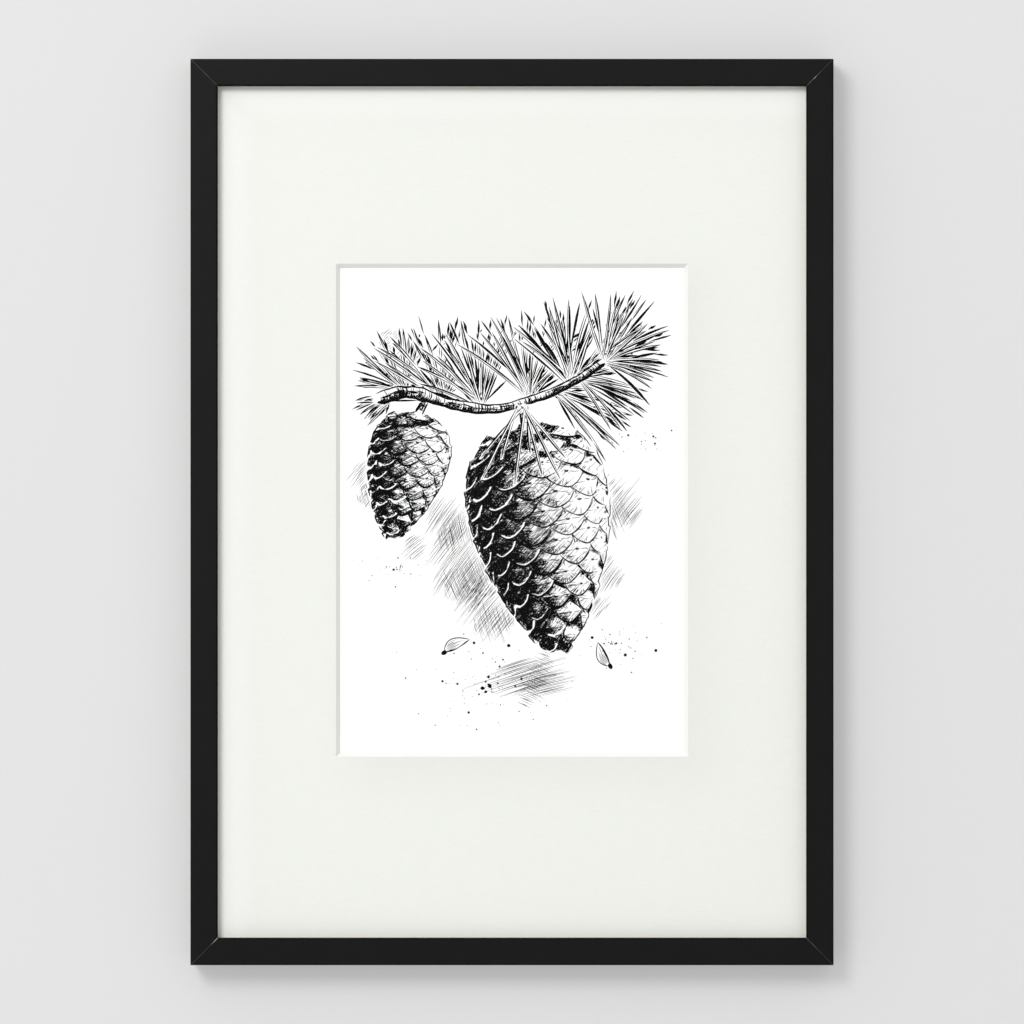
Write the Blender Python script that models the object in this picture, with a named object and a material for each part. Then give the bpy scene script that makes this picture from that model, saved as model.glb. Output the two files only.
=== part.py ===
"""A slim black picture frame for a wall, with glass, a window mat and a print.

Metres, +Z up. The picture faces -Y and the wall is the plane y = 0. The origin is the point of
the wall plane at the middle notch of the hanger, where the picture hangs on its nail.
"""

import math

import bmesh
import bpy
from mathutils import Matrix, Vector

MM = 0.001

# The frame, seen from the front
SIGHT_WIDTH = 346.5 * MM
SIGHT_HEIGHT = 501.4 * MM
FACE_WIDTH = 16.0 * MM

# The moulding's section
MOULDING_DEPTH = 21.0 * MM
LIP_DEPTH = 4.5 * MM
REBATE_WIDTH = 5.0 * MM
OUTER_EDGE_RADIUS = 1.2 * MM
INNER_EDGE_RADIUS = 0.8 * MM
EDGE_STEPS = 3

# Air between two pieces that touch, and between a sheet's edge and the rebate
CLEARANCE = 0.3 * MM
SHEET_EDGE_ROOM = 1.0 * MM

# The pack, from the glass towards the wall
LAYER_THICKNESS = {
    "glazing": 2.0 * MM,
    "window_mat": 2.2 * MM,
    "art_print": 0.4 * MM,
    "hinge_tape": 0.2 * MM,
    "backing_mat": 1.4 * MM,
    "back_board": 2.5 * MM,
    "flexible_point": 0.6 * MM,
}
PRINT_WIDTH = 210.0 * MM
PRINT_HEIGHT = 297.0 * MM
WINDOW_WIDTH = 203.2 * MM
WINDOW_HEIGHT = 286.4 * MM
WINDOW_RAISE = 1.0 * MM
TAPE_WIDTH = 25.0 * MM
TAPE_HEIGHT = 36.0 * MM
TAPE_ON_PRINT = 14.0 * MM
TAPE_FROM_CENTRE = 62.0 * MM

# The flexible points that hold the pack in the rebate
POINT_WIDTH = 6.0 * MM
POINT_IN_WOOD = 5.5 * MM
POINT_OVER_BOARD = 9.0 * MM
POINTS_ON_STILE = (-165.0 * MM, 0.0, 165.0 * MM)
POINTS_ON_RAIL = (-95.0 * MM, 95.0 * MM)
POINT_ARC_STEPS = 10

# The V-shaped nail across each mitre
WEDGE_LEG = 5.0 * MM
WEDGE_THICKNESS = 0.6 * MM
WEDGE_HEIGHT = 10.0 * MM
WEDGE_HALF_ANGLE = math.radians(50)
WEDGE_OFFSET = 1.5 * MM

# What meets the wall
WALL_GAP = 3.0 * MM
NOTCH_BELOW_TOP = 8.0 * MM
HANGER_WIDTH = 44.0 * MM
HANGER_THICKNESS = 0.8 * MM
HANGER_ABOVE_NOTCH = 6.5 * MM
HANGER_FOOT = 8.0 * MM
HANGER_SLOPE = 2.5 * MM
HANGER_CORNER_RADIUS = 2.0 * MM
CORNER_STEPS = 4
TOOTH_PITCH = 3.0 * MM
TOOTH_DEPTH = 1.8 * MM
TOOTH_COUNT = 7
NAIL_RADIUS = 0.6 * MM
NAIL_TIP_RADIUS = 0.15 * MM
NAIL_TIP_LENGTH = 1.5 * MM
NAIL_HEAD_RADIUS = 1.6 * MM
NAIL_CROWN_RADIUS = 1.1 * MM
NAIL_RIM_THICKNESS = 0.35 * MM
NAIL_HEAD_THICKNESS = 0.7 * MM
NAIL_LENGTH = 11.0 * MM
BUMPER_RADIUS = 4.5 * MM
BUMPER_EDGE = 0.5 * MM
BUMPER_FROM_CORNER = 24.0 * MM
ROUND_STEPS = 24
SMOOTH_BELOW = math.radians(35)
BEND_TOLERANCE = 0.0001 * MM

# Worked out from the sizes above
OUTER_WIDTH = SIGHT_WIDTH + 2 * FACE_WIDTH
OUTER_HEIGHT = SIGHT_HEIGHT + 2 * FACE_WIDTH
BACK_WIDTH = FACE_WIDTH - REBATE_WIDTH
TOP = NOTCH_BELOW_TOP
CENTRE = TOP - OUTER_HEIGHT / 2
MOULDING_BACK = -WALL_GAP
MOULDING_FRONT = MOULDING_BACK - MOULDING_DEPTH
SHEET_WIDTH = OUTER_WIDTH - 2 * (BACK_WIDTH + SHEET_EDGE_ROOM)
SHEET_HEIGHT = OUTER_HEIGHT - 2 * (BACK_WIDTH + SHEET_EDGE_ROOM)


def clear_scene():
    """Removes the objects of an opened file."""
    for old in list(bpy.data.objects):
        bpy.data.objects.remove(old, do_unlink=True)


def make_material(name, colour, roughness, metallic=0.0, alpha=1.0):
    """A plain finish: a colour, how rough it is and whether it is metal."""
    material = bpy.data.materials.new(name)
    material.use_nodes = True
    shader = material.node_tree.nodes["Principled BSDF"]
    shader.inputs["Base Color"].default_value = (*colour, 1.0)
    shader.inputs["Roughness"].default_value = roughness
    shader.inputs["Metallic"].default_value = metallic
    shader.inputs["Alpha"].default_value = alpha
    material.diffuse_color = (*colour, alpha)
    return material


def make_materials():
    """The finishes of the whole picture."""
    return {
        "black_paint": make_material("black_paint", (0.013, 0.013, 0.013), 0.45),
        "clear_glass": make_material("clear_glass", (0.9, 0.95, 0.93), 0.03, alpha=0.12),
        "off_white_board": make_material("off_white_board", (0.86, 0.87, 0.83), 0.9),
        "print_paper": make_material("print_paper", (0.93, 0.93, 0.93), 0.85),
        "linen_tape": make_material("linen_tape", (0.8, 0.78, 0.72), 0.9),
        "fibreboard": make_material("fibreboard", (0.27, 0.16, 0.085), 0.75),
        "zinc_steel": make_material("zinc_steel", (0.55, 0.55, 0.56), 0.35, metallic=1.0),
        "brassed_steel": make_material("brassed_steel", (0.6, 0.44, 0.2), 0.35, metallic=1.0),
        "bumper_felt": make_material("bumper_felt", (0.03, 0.03, 0.03), 0.95),
    }


def add_object(name, mesh, material, parent=None):
    """One named piece with its own finish."""
    piece = bpy.data.objects.new(name, mesh)
    bpy.context.scene.collection.objects.link(piece)
    mesh.materials.append(material)
    piece.parent = parent
    return piece


def loft(name, loops, ring=False):
    """A closed mesh through loops of points. The ends are capped, or meet each other in a ring."""
    shape = bmesh.new()
    rows = [[shape.verts.new(point) for point in loop] for loop in loops]
    steps = list(zip(rows, rows[1:]))
    if ring:
        steps.append((rows[-1], rows[0]))
    for near, far in steps:
        for i in range(len(near)):
            j = (i + 1) % len(near)
            shape.faces.new((near[i], near[j], far[j], far[i]))
    if not ring:
        shape.faces.new(rows[0])
        shape.faces.new(rows[-1])
    bmesh.ops.recalc_face_normals(shape, faces=shape.faces)
    mesh = bpy.data.meshes.new(name)
    shape.to_mesh(mesh)
    shape.free()
    return mesh


def plate(name, outline, front, back):
    """A flat plate: an outline of (x, z) points between two depths."""
    return loft(name, [[(x, y, z) for x, z in outline] for y in (front, back)])


def rectangle(width, height, centre_x=0.0, centre_z=0.0):
    """The four corners of a rectangle as (x, z) points."""
    half_w, half_h = width / 2, height / 2
    corners = ((-half_w, -half_h), (half_w, -half_h), (half_w, half_h), (-half_w, half_h))
    return [(centre_x + x, centre_z + z) for x, z in corners]


def arc(centre, radius, start, end, steps):
    """Points along an arc, its two ends included. Angles are in degrees."""
    angles = [math.radians(start + (end - start) * i / steps) for i in range(steps + 1)]
    return [(centre[0] + radius * math.cos(a), centre[1] + radius * math.sin(a)) for a in angles]


def cut(piece, cutter):
    """Takes the cutter's shape out of the piece. The cutter itself isn't part of the picture."""
    cutter.hide_render = True
    cutter.display_type = "WIRE"
    modifier = piece.modifiers.new(cutter.name, "BOOLEAN")
    modifier.operation = "DIFFERENCE"
    modifier.solver = "EXACT"
    modifier.object = cutter


def moulding_profile():
    """The section as (inset from the outer edge, depth from the front) points."""
    outer = (OUTER_EDGE_RADIUS, OUTER_EDGE_RADIUS)
    inner = (FACE_WIDTH - INNER_EDGE_RADIUS, INNER_EDGE_RADIUS)
    return [
        *arc(outer, OUTER_EDGE_RADIUS, 180, 270, EDGE_STEPS),
        *arc(inner, INNER_EDGE_RADIUS, 270, 360, EDGE_STEPS),
        (FACE_WIDTH, LIP_DEPTH),
        (BACK_WIDTH, LIP_DEPTH),
        (BACK_WIDTH, MOULDING_DEPTH),
        (0.0, MOULDING_DEPTH),
    ]


def make_side(name, length, distance, turn, material, parent):
    """One mitred length of moulding. It is modelled as the top side and then turned about +Y."""
    mitre_pull = CLEARANCE / 2 * math.sqrt(2)
    loops = []
    for end in (-1, 1):
        loops.append(
            [
                (end * (length / 2 - inset - mitre_pull), MOULDING_FRONT + depth, distance - inset)
                for inset, depth in moulding_profile()
            ]
        )
    side = add_object(name, loft(name, loops), material, parent)
    side.rotation_euler = (0.0, turn, 0.0)
    return side


def make_frame(materials, parent):
    """The four mitred sides, by name."""
    width, height = OUTER_WIDTH, OUTER_HEIGHT
    black = materials["black_paint"]
    quarter = math.pi / 2
    return {
        "rail_top": make_side("rail_top", width, height / 2, 0.0, black, parent),
        "stile_right": make_side("stile_right", height, width / 2, quarter, black, parent),
        "rail_bottom": make_side("rail_bottom", width, height / 2, 2 * quarter, black, parent),
        "stile_left": make_side("stile_left", height, width / 2, 3 * quarter, black, parent),
    }


def layer_depths():
    """The front and back of each layer of the pack, by name."""
    depths = {}
    y = MOULDING_FRONT + LIP_DEPTH
    for name, thickness in LAYER_THICKNESS.items():
        front = y + CLEARANCE
        y = front + thickness
        depths[name] = (front, y)
    return depths


def make_sheets(depths, materials, parent):
    """The flat sheets of the pack: glass, print, backing mat and back board."""
    sheet = rectangle(SHEET_WIDTH, SHEET_HEIGHT)
    paper = rectangle(PRINT_WIDTH, PRINT_HEIGHT, centre_z=WINDOW_RAISE)
    sheets = (
        ("glazing", sheet, "clear_glass"),
        ("art_print", paper, "print_paper"),
        ("backing_mat", sheet, "off_white_board"),
        ("back_board", sheet, "fibreboard"),
    )
    for name, outline, finish in sheets:
        add_object(name, plate(name, outline, *depths[name]), materials[finish], parent)


def make_window_mat(depths, materials, parent):
    """The mat, with its opening cut at 45 degrees so that the white core shows."""
    front, back = depths["window_mat"]
    cut_back = back - front
    outside = rectangle(SHEET_WIDTH, SHEET_HEIGHT)
    foot = rectangle(WINDOW_WIDTH, WINDOW_HEIGHT, centre_z=WINDOW_RAISE)
    brow = rectangle(
        WINDOW_WIDTH + 2 * cut_back, WINDOW_HEIGHT + 2 * cut_back, centre_z=WINDOW_RAISE
    )
    loops = [
        [(x, y, z) for x, z in outline]
        for outline, y in ((outside, front), (outside, back), (foot, back), (brow, front))
    ]
    add_object("window_mat", loft("window_mat", loops, ring=True), materials["off_white_board"], parent)


def make_hinge_tapes(depths, materials, parent):
    """Two strips that hang the print: half behind its top edge, half on the backing mat."""
    print_top = WINDOW_RAISE + PRINT_HEIGHT / 2
    centre_z = print_top - TAPE_ON_PRINT + TAPE_HEIGHT / 2
    for side, x in (("left", -TAPE_FROM_CENTRE), ("right", TAPE_FROM_CENTRE)):
        name = f"hinge_tape_{side}"
        outline = rectangle(TAPE_WIDTH, TAPE_HEIGHT, x, centre_z)
        mesh = plate(name, outline, *depths["hinge_tape"])
        add_object(name, mesh, materials["linen_tape"], parent)


def point_outline(grow=0.0):
    """A flexible point seen from behind. Its arrow tip is in the wood, and -Z is the inside."""
    half = POINT_WIDTH / 2 + grow
    shoulder = POINT_IN_WOOD - POINT_WIDTH / 2
    end_centre = (0.0, POINT_WIDTH / 2 - POINT_OVER_BOARD)
    return [
        (0.0, POINT_IN_WOOD + grow * math.sqrt(2)),
        (-half, shoulder),
        *arc(end_centre, half, 180, 360, POINT_ARC_STEPS),
        (half, shoulder),
    ]


def place_on_side(piece, along, distance, turn, parent):
    """Puts a piece at a distance from the frame's centre, on the side that turn gives."""
    piece.parent = parent
    piece.location = Matrix.Rotation(turn, 3, "Y") @ Vector((along, 0.0, distance))
    piece.rotation_euler = (0.0, turn, 0.0)


def make_flexible_points(sides, depths, materials, parent):
    """Steel points driven into the rebate's wall, each in its own slot, over the back board."""
    front, back = depths["flexible_point"]
    rail_distance = OUTER_HEIGHT / 2 - BACK_WIDTH
    stile_distance = OUTER_WIDTH / 2 - BACK_WIDTH
    places = (
        ("rail_top", POINTS_ON_RAIL, rail_distance, 0.0),
        ("stile_right", POINTS_ON_STILE, stile_distance, math.pi / 2),
        ("rail_bottom", POINTS_ON_RAIL, rail_distance, math.pi),
        ("stile_left", POINTS_ON_STILE, stile_distance, 3 * math.pi / 2),
    )
    for side, positions, distance, turn in places:
        for number, along in enumerate(positions, start=1):
            name = f"flexible_point_{side}_{number}"
            point = add_object(
                name, plate(name, point_outline(), front, back), materials["zinc_steel"]
            )
            place_on_side(point, along, distance, turn, parent)
            slot_mesh = plate(
                f"slot_{name}", point_outline(CLEARANCE), front - CLEARANCE, back + CLEARANCE
            )
            slot = add_object(f"slot_{name}", slot_mesh, materials["zinc_steel"])
            place_on_side(slot, along, distance, turn, parent)
            cut(sides[side], slot)


def wedge_outline(corner, grow=0.0):
    """The V seen from behind, its fold on the mitre and its legs open towards the picture.

    corner is (-1 or 1, -1 or 1), the signs of x and z there.
    """
    inwards = Vector((-corner[0], -corner[1])).normalized()
    mitre_middle = Vector(
        (
            corner[0] * (OUTER_WIDTH / 2 - BACK_WIDTH / 2),
            corner[1] * (OUTER_HEIGHT / 2 - BACK_WIDTH / 2),
        )
    )
    fold = mitre_middle - inwards * WEDGE_OFFSET
    half = WEDGE_THICKNESS / 2 + grow
    across_fold = half / math.sin(WEDGE_HALF_ANGLE)
    legs = []
    for side in (-1, 1):
        along = Matrix.Rotation(side * WEDGE_HALF_ANGLE, 2) @ inwards
        normal = Matrix.Rotation(side * math.pi / 2, 2) @ along
        legs.append((fold + along * (WEDGE_LEG + grow), normal * half))
    (first_end, first_out), (second_end, second_out) = legs
    points = (
        fold - inwards * across_fold,
        second_end + second_out,
        second_end - second_out,
        fold + inwards * across_fold,
        first_end - first_out,
        first_end + first_out,
    )
    return [tuple(point) for point in points]


def make_corner_wedges(sides, materials, parent):
    """One folded steel nail across each mitre, driven in from behind."""
    corners = {
        "top_left": ((-1, 1), ("rail_top", "stile_left")),
        "top_right": ((1, 1), ("rail_top", "stile_right")),
        "bottom_left": ((-1, -1), ("rail_bottom", "stile_left")),
        "bottom_right": ((1, -1), ("rail_bottom", "stile_right")),
    }
    back = MOULDING_BACK - CLEARANCE
    front = back - WEDGE_HEIGHT
    for place, (corner, joined) in corners.items():
        name = f"corner_wedge_{place}"
        steel = materials["zinc_steel"]
        add_object(name, plate(name, wedge_outline(corner), front, back), steel, parent)
        slot_mesh = plate(
            f"slot_{name}",
            wedge_outline(corner, CLEARANCE),
            front - CLEARANCE,
            MOULDING_BACK + CLEARANCE,
        )
        slot = add_object(f"slot_{name}", slot_mesh, steel, parent)
        for side in joined:
            cut(sides[side], slot)


def hanger_outline():
    """The sawtooth plate laid flat: (x, z) points, with the middle notch's top at z = 0."""
    half = HANGER_WIDTH / 2
    row_half = TOOTH_COUNT * TOOTH_PITCH / 2
    teeth = [(-row_half, -TOOTH_DEPTH)]
    for i in range(TOOTH_COUNT):
        left = -row_half + i * TOOTH_PITCH
        teeth.append((left + TOOTH_PITCH / 2, 0.0))
        teeth.append((left + TOOTH_PITCH, -TOOTH_DEPTH))
    corner = HANGER_CORNER_RADIUS
    low = corner - TOOTH_DEPTH
    high = HANGER_ABOVE_NOTCH - corner
    centres = ((half - corner, low), (half - corner, high), (corner - half, high), (corner - half, low))
    outline = teeth
    for centre, start in zip(centres, (270, 0, 90, 180)):
        outline = outline + arc(centre, corner, start, start + 90, CORNER_STEPS)
    return outline


def bend_hanger(mesh):
    """Presses the feet towards the rail, so that the middle of the plate stands proud of it."""
    shape = bmesh.new()
    shape.from_mesh(mesh)
    foot_end = HANGER_WIDTH / 2 - HANGER_FOOT
    rise_end = foot_end - HANGER_SLOPE
    for x in (-foot_end, -rise_end, rise_end, foot_end):
        everything = [*shape.verts, *shape.edges, *shape.faces]
        bmesh.ops.bisect_plane(
            shape, geom=everything, dist=BEND_TOLERANCE, plane_co=(x, 0, 0), plane_no=(1, 0, 0)
        )
    step = WALL_GAP - CLEARANCE - HANGER_THICKNESS
    for vert in shape.verts:
        share = (abs(vert.co.x) - rise_end) / HANGER_SLOPE
        vert.co.y -= step * min(1.0, max(0.0, share))
    bmesh.ops.recalc_face_normals(shape, faces=shape.faces)
    shape.to_mesh(mesh)
    shape.free()


def round_loop(radius, y, centre_x, centre_z):
    """A circle of points round an axis along Y."""
    circle = arc((centre_x, centre_z), radius, 0, 360, ROUND_STEPS)[:-1]
    return [(x, y, z) for x, z in circle]


def turned(name, stations, centre_x, centre_z):
    """A round piece along Y through (radius, y) stations, shaded smooth but for its edges."""
    mesh = loft(name, [round_loop(radius, y, centre_x, centre_z) for radius, y in stations])
    mesh.shade_smooth()
    mesh.set_sharp_from_angle(angle=SMOOTH_BELOW)
    return mesh


def make_hanger(sides, materials):
    """The sawtooth plate on the top rail, and the two nails that hold its feet."""
    brass = materials["brassed_steel"]
    mesh = plate("sawtooth_hanger", hanger_outline(), -HANGER_THICKNESS, 0.0)
    bend_hanger(mesh)
    hanger = add_object("sawtooth_hanger", mesh, brass)
    foot_back = MOULDING_BACK + CLEARANCE + HANGER_THICKNESS
    head_front = foot_back + CLEARANCE
    nail_z = (HANGER_ABOVE_NOTCH - TOOTH_DEPTH) / 2
    for side, sign in (("left", -1), ("right", 1)):
        x = sign * (HANGER_WIDTH - HANGER_FOOT) / 2
        tip = head_front - NAIL_LENGTH
        stations = (
            (NAIL_TIP_RADIUS, tip),
            (NAIL_RADIUS, tip + NAIL_TIP_LENGTH),
            (NAIL_RADIUS, head_front),
            (NAIL_HEAD_RADIUS, head_front),
            (NAIL_HEAD_RADIUS, head_front + NAIL_RIM_THICKNESS),
            (NAIL_CROWN_RADIUS, head_front + NAIL_HEAD_THICKNESS),
        )
        name = f"hanger_nail_{side}"
        add_object(name, turned(name, stations, x, nail_z), brass)
        hole_radius = NAIL_RADIUS + CLEARANCE
        hole_ends = ((hole_radius, tip - CLEARANCE), (hole_radius, CLEARANCE))
        hole = add_object(f"hole_{name}", turned(f"hole_{name}", hole_ends, x, nail_z), brass)
        cut(hanger, hole)
        cut(sides["rail_top"], hole)


def make_bumpers(materials):
    """Two discs on the bottom rail that hold the picture parallel to the wall."""
    z = TOP - OUTER_HEIGHT + BACK_WIDTH / 2
    front = MOULDING_BACK + CLEARANCE
    for side, sign in (("left", -1), ("right", 1)):
        x = sign * (OUTER_WIDTH / 2 - BUMPER_FROM_CORNER)
        stations = (
            (BUMPER_RADIUS, front),
            (BUMPER_RADIUS, -BUMPER_EDGE),
            (BUMPER_RADIUS - BUMPER_EDGE, 0.0),
        )
        name = f"bumper_{side}"
        add_object(name, turned(name, stations, x, z), materials["bumper_felt"])


def main():
    clear_scene()
    materials = make_materials()
    frame_centre = bpy.data.objects.new("frame_centre", None)
    frame_centre.location = (0.0, 0.0, CENTRE)
    bpy.context.scene.collection.objects.link(frame_centre)

    sides = make_frame(materials, frame_centre)
    depths = layer_depths()
    make_sheets(depths, materials, frame_centre)
    make_window_mat(depths, materials, frame_centre)
    make_hinge_tapes(depths, materials, frame_centre)
    make_flexible_points(sides, depths, materials, frame_centre)
    make_corner_wedges(sides, materials, frame_centre)
    make_hanger(sides, materials)
    make_bumpers(materials)


main()
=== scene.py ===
# %% [markdown]
# # A framed ink drawing
#
# The object is a picture for a wall: a slim black frame, clear glass, a wide off-white window mat
# and an ink drawing on white paper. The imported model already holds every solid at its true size.
# This script dresses those solids, adds what is too fine for them, and lights the picture.

import math

import bpy
import numpy as np
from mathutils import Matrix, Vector


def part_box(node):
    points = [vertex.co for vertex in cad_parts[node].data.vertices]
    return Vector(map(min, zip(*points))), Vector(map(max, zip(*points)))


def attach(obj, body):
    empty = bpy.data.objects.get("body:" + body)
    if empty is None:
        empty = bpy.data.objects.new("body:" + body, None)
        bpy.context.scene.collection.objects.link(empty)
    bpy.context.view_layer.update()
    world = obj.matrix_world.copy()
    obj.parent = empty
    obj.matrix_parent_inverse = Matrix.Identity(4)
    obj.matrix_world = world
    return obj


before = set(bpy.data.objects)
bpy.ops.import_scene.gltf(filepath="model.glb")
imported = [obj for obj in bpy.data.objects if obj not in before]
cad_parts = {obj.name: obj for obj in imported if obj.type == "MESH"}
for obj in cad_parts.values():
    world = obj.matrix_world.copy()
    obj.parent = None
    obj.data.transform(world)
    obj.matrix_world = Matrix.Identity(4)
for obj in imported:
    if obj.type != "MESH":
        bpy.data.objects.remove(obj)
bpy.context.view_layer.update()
MM = 0.001
print("solids:", len(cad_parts))

# %% [markdown]
# ## Sizes that come from the solids
#
# Nothing is measured twice. The outside of the frame, the depth of its lip, the opening of the
# mat and the face of the paper are all read from the model, so that the fine pieces made below
# land exactly where the solids are.

# %% Sizes from the solids
outer_low, outer_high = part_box("rail_top")[0].copy(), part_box("rail_top")[1].copy()
outer_low.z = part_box("rail_bottom")[0].z
outer_low.x, outer_high.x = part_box("stile_left")[0].x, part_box("stile_right")[1].x
CENTRE_Z = (outer_low.z + outer_high.z) / 2
OUTER_WIDTH = outer_high.x - outer_low.x
OUTER_HEIGHT = outer_high.z - outer_low.z
FACE_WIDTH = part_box("rail_top")[1].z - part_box("rail_top")[0].z
FRONT_Y, BACK_Y = outer_low.y, outer_high.y
SHEET_GAP = 0.3 * MM
LIP_BACK_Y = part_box("glazing")[0].y - SHEET_GAP
MAT_FRONT_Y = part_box("window_mat")[0].y
PAPER_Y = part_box("art_print")[0].y
paper_low, paper_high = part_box("art_print")
PAPER_Z = (paper_low.z + paper_high.z) / 2
mat_points = [v.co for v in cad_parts["window_mat"].data.vertices]
OPENING_WIDTH = 2 * min(abs(p.x) for p in mat_points)
OPENING_HEIGHT = 2 * min(abs(p.z - PAPER_Z) for p in mat_points)
print("outside mm:", round(OUTER_WIDTH / MM, 1), round(OUTER_HEIGHT / MM, 1))
print("opening mm:", round(OPENING_WIDTH / MM, 1), round(OPENING_HEIGHT / MM, 1))

# %% [markdown]
# ## The camera
#
# The picture is seen squarely from the front, with no lean in its sides, so the camera stands
# far back on the picture's own axis with a long lens. The lens follows from one measure: how many
# pixels wide the frame is in a square image that is 1024 pixels wide.

# %% Camera
IMAGE_PIXELS = 1024
FRAME_PIXELS = 643.35
CAMERA_DISTANCE = 3.2
SENSOR = 36.0

seen_width = OUTER_WIDTH * IMAGE_PIXELS / FRAME_PIXELS
camera = bpy.data.objects.new("camera", bpy.data.cameras.new("camera"))
bpy.context.scene.collection.objects.link(camera)
camera.data.sensor_width = SENSOR
camera.data.lens = SENSOR * CAMERA_DISTANCE / seen_width
camera.location = (0.0, FRONT_Y - CAMERA_DISTANCE, CENTRE_Z)
camera.rotation_euler = (math.radians(90), 0.0, 0.0)
bpy.context.scene.camera = camera
print("lens mm:", round(camera.data.lens, 1))

# %% [markdown]
# ## Building a finish from nodes
#
# Every finish below is a Principled shader fed by a few pattern nodes. The short helpers keep
# each recipe readable: one makes a node and fills its sockets, one reads a point's place in
# metres, one turns a pattern into relief. A pattern in metres needs no unwrapped surface.

# %% A new finish
def new_finish(name):
    """A material with nothing but its Principled shader."""
    material = bpy.data.materials.new(name)
    material.use_nodes = True
    return material


def shader_of(material):
    return material.node_tree.nodes["Principled BSDF"]


trial = new_finish("trial")
print("an empty finish has the nodes:", [node.name for node in trial.node_tree.nodes])
bpy.data.materials.remove(trial)


# %% Nodes and their sockets
def feed(material, socket, value):
    """Gives a socket a value, or links it to another node's output."""
    if isinstance(value, bpy.types.NodeSocket):
        material.node_tree.links.new(value, socket)
    else:
        socket.default_value = value


def place(material, kind, settings=(), **sockets):
    """Adds a node. Sockets go by name, or by number as i0, i1 and so on."""
    node = material.node_tree.nodes.new(kind)
    for key, value in dict(settings).items():
        setattr(node, key, value)
    for key, value in sockets.items():
        index = int(key[1:]) if key[0] == "i" and key[1:].isdigit() else key.replace("_", " ")
        feed(material, node.inputs[index], value)
    return node


def set_shader(material, **sockets):
    for key, value in sockets.items():
        feed(material, shader_of(material).inputs[key.replace("_", " ")], value)


trial = new_finish("trial")
set_shader(trial, Roughness=0.25)
print("the trial finish is now this rough:", shader_of(trial).inputs["Roughness"].default_value)
bpy.data.materials.remove(trial)


# %% [markdown]
# Most patterns here are noise of one size or another: fibres, dents, streaks of grain. Stretching
# the coordinates before the noise is what turns a cloud into a grain that runs along a length.

# %% Helpers for patterns
def point_in_metres(material):
    return place(material, "ShaderNodeTexCoord").outputs["Object"]


def split_up(material, vector):
    """A vector's x, y and z, as three outputs."""
    return place(material, "ShaderNodeSeparateXYZ", Vector=vector).outputs


def noise(material, per_metre, detail=3.0, roughness=0.55, distortion=0.0):
    """Noise whose features are 1 / per_metre across; three numbers stretch it."""
    stretch = per_metre if isinstance(per_metre, tuple) else (per_metre,) * 3
    mapping = place(material, "ShaderNodeMapping", Vector=point_in_metres(material), Scale=stretch)
    pattern = place(
        material, "ShaderNodeTexNoise", Vector=mapping.outputs[0], Scale=1.0,
        Detail=detail, Roughness=roughness, Distortion=distortion,
    )
    return pattern.outputs[0]


print("noise at 900 to the metre has features of", round(1000 / 900, 2), "mm")


# %% Helpers for mixing and measuring
def blend_colours(material, share, first, second):
    mix = place(material, "ShaderNodeMix", {"data_type": "RGBA"})
    for index, value in ((0, share), (6, first), (7, second)):
        feed(material, mix.inputs[index], value)
    return mix.outputs[2]


def spread(material, value, low, high, to_low=0.0, to_high=1.0):
    """Maps low..high onto to_low..to_high, and holds it there."""
    node = place(material, "ShaderNodeMapRange", i0=value, i1=low, i2=high, i3=to_low, i4=to_high)
    return node.outputs[0]


def compute(material, operation, first, second=0.0):
    return place(material, "ShaderNodeMath", {"operation": operation}, i0=first, i1=second).outputs[0]


def relief(material, pattern, depth, before=None):
    """Turns a pattern into dents of a real depth in metres. before is an earlier relief."""
    bump = place(material, "ShaderNodeBump", Strength=1.0, Distance=depth, Height=pattern)
    if before is not None:
        feed(material, bump.inputs["Normal"], before)
    return bump.outputs[0]


def grey(value):
    return (value, value, value, 1.0)


print("a grey of 0.5 as red, green, blue and cover:", grey(0.5))


# %% [markdown]
# ## Black paint on the moulding
#
# The frame is a thin hardwood moulding, sprayed satin black before it was cut. A grain shows
# faintly through the paint and runs along each length, so rails and stiles get one recipe with
# two directions. The paint stops at the back: the back face and the rebate are bare wood, with a
# ragged edge where the spray drifted over the corner. The two rounded front edges carry painted
# shade: a blacker colour than the flat between them, with a rougher, duller finish. Where a point
# lies in the moulding's section tells all of these apart, so no face has to be picked by hand.

# %% A point in the moulding's section
def section_of(material, along):
    """How far in from the outer edge, how far back, and how much it faces outward and backward."""
    facing = split_up(material, place(material, "ShaderNodeNewGeometry").outputs["Normal"])
    point = split_up(material, point_in_metres(material))
    if along == "x":
        across, half, side = compute(material, "SUBTRACT", point[2], CENTRE_Z), OUTER_HEIGHT / 2, facing[2]
    else:
        across, half, side = point[0], OUTER_WIDTH / 2, facing[0]
    inset = compute(material, "SUBTRACT", half, compute(material, "ABSOLUTE", across))
    outward = compute(material, "MULTIPLY", side, compute(material, "SIGN", across))
    return inset, point[1], outward, facing[1]


trial = new_finish("trial")
print("outputs that tell a point's place in the section:", len(section_of(trial, "x")))
bpy.data.materials.remove(trial)

# %% Where the wood is bare
DRIFT, SOFT_EDGE = 1.6 * MM, 0.3 * MM
FACING = 0.6


def bare_wood_share(material, section):
    """1 on the back and in the rebate, 0 on what the spray reached."""
    inset, y, outward, backward = section
    drifted = compute(material, "MULTIPLY", noise(material, 700.0, detail=4.0), DRIFT)
    past_drift = spread(material, compute(material, "SUBTRACT", inset, drifted), 0.0, SOFT_EDGE)
    back = compute(material, "MULTIPLY", compute(material, "GREATER_THAN", backward, FACING), past_drift)
    inside = compute(material, "LESS_THAN", outward, -FACING)
    behind_lip = compute(material, "GREATER_THAN", y, LIP_BACK_Y)
    return compute(material, "MAXIMUM", back, compute(material, "MULTIPLY", inside, behind_lip))


print("paint ends within mm of the back edge:", round(DRIFT / MM, 1))

# %% Painted shade on the rounded edges
SHADED_EDGE_OUTER, SHADED_EDGE_INNER = 0.8 * MM, 0.7 * MM


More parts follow.
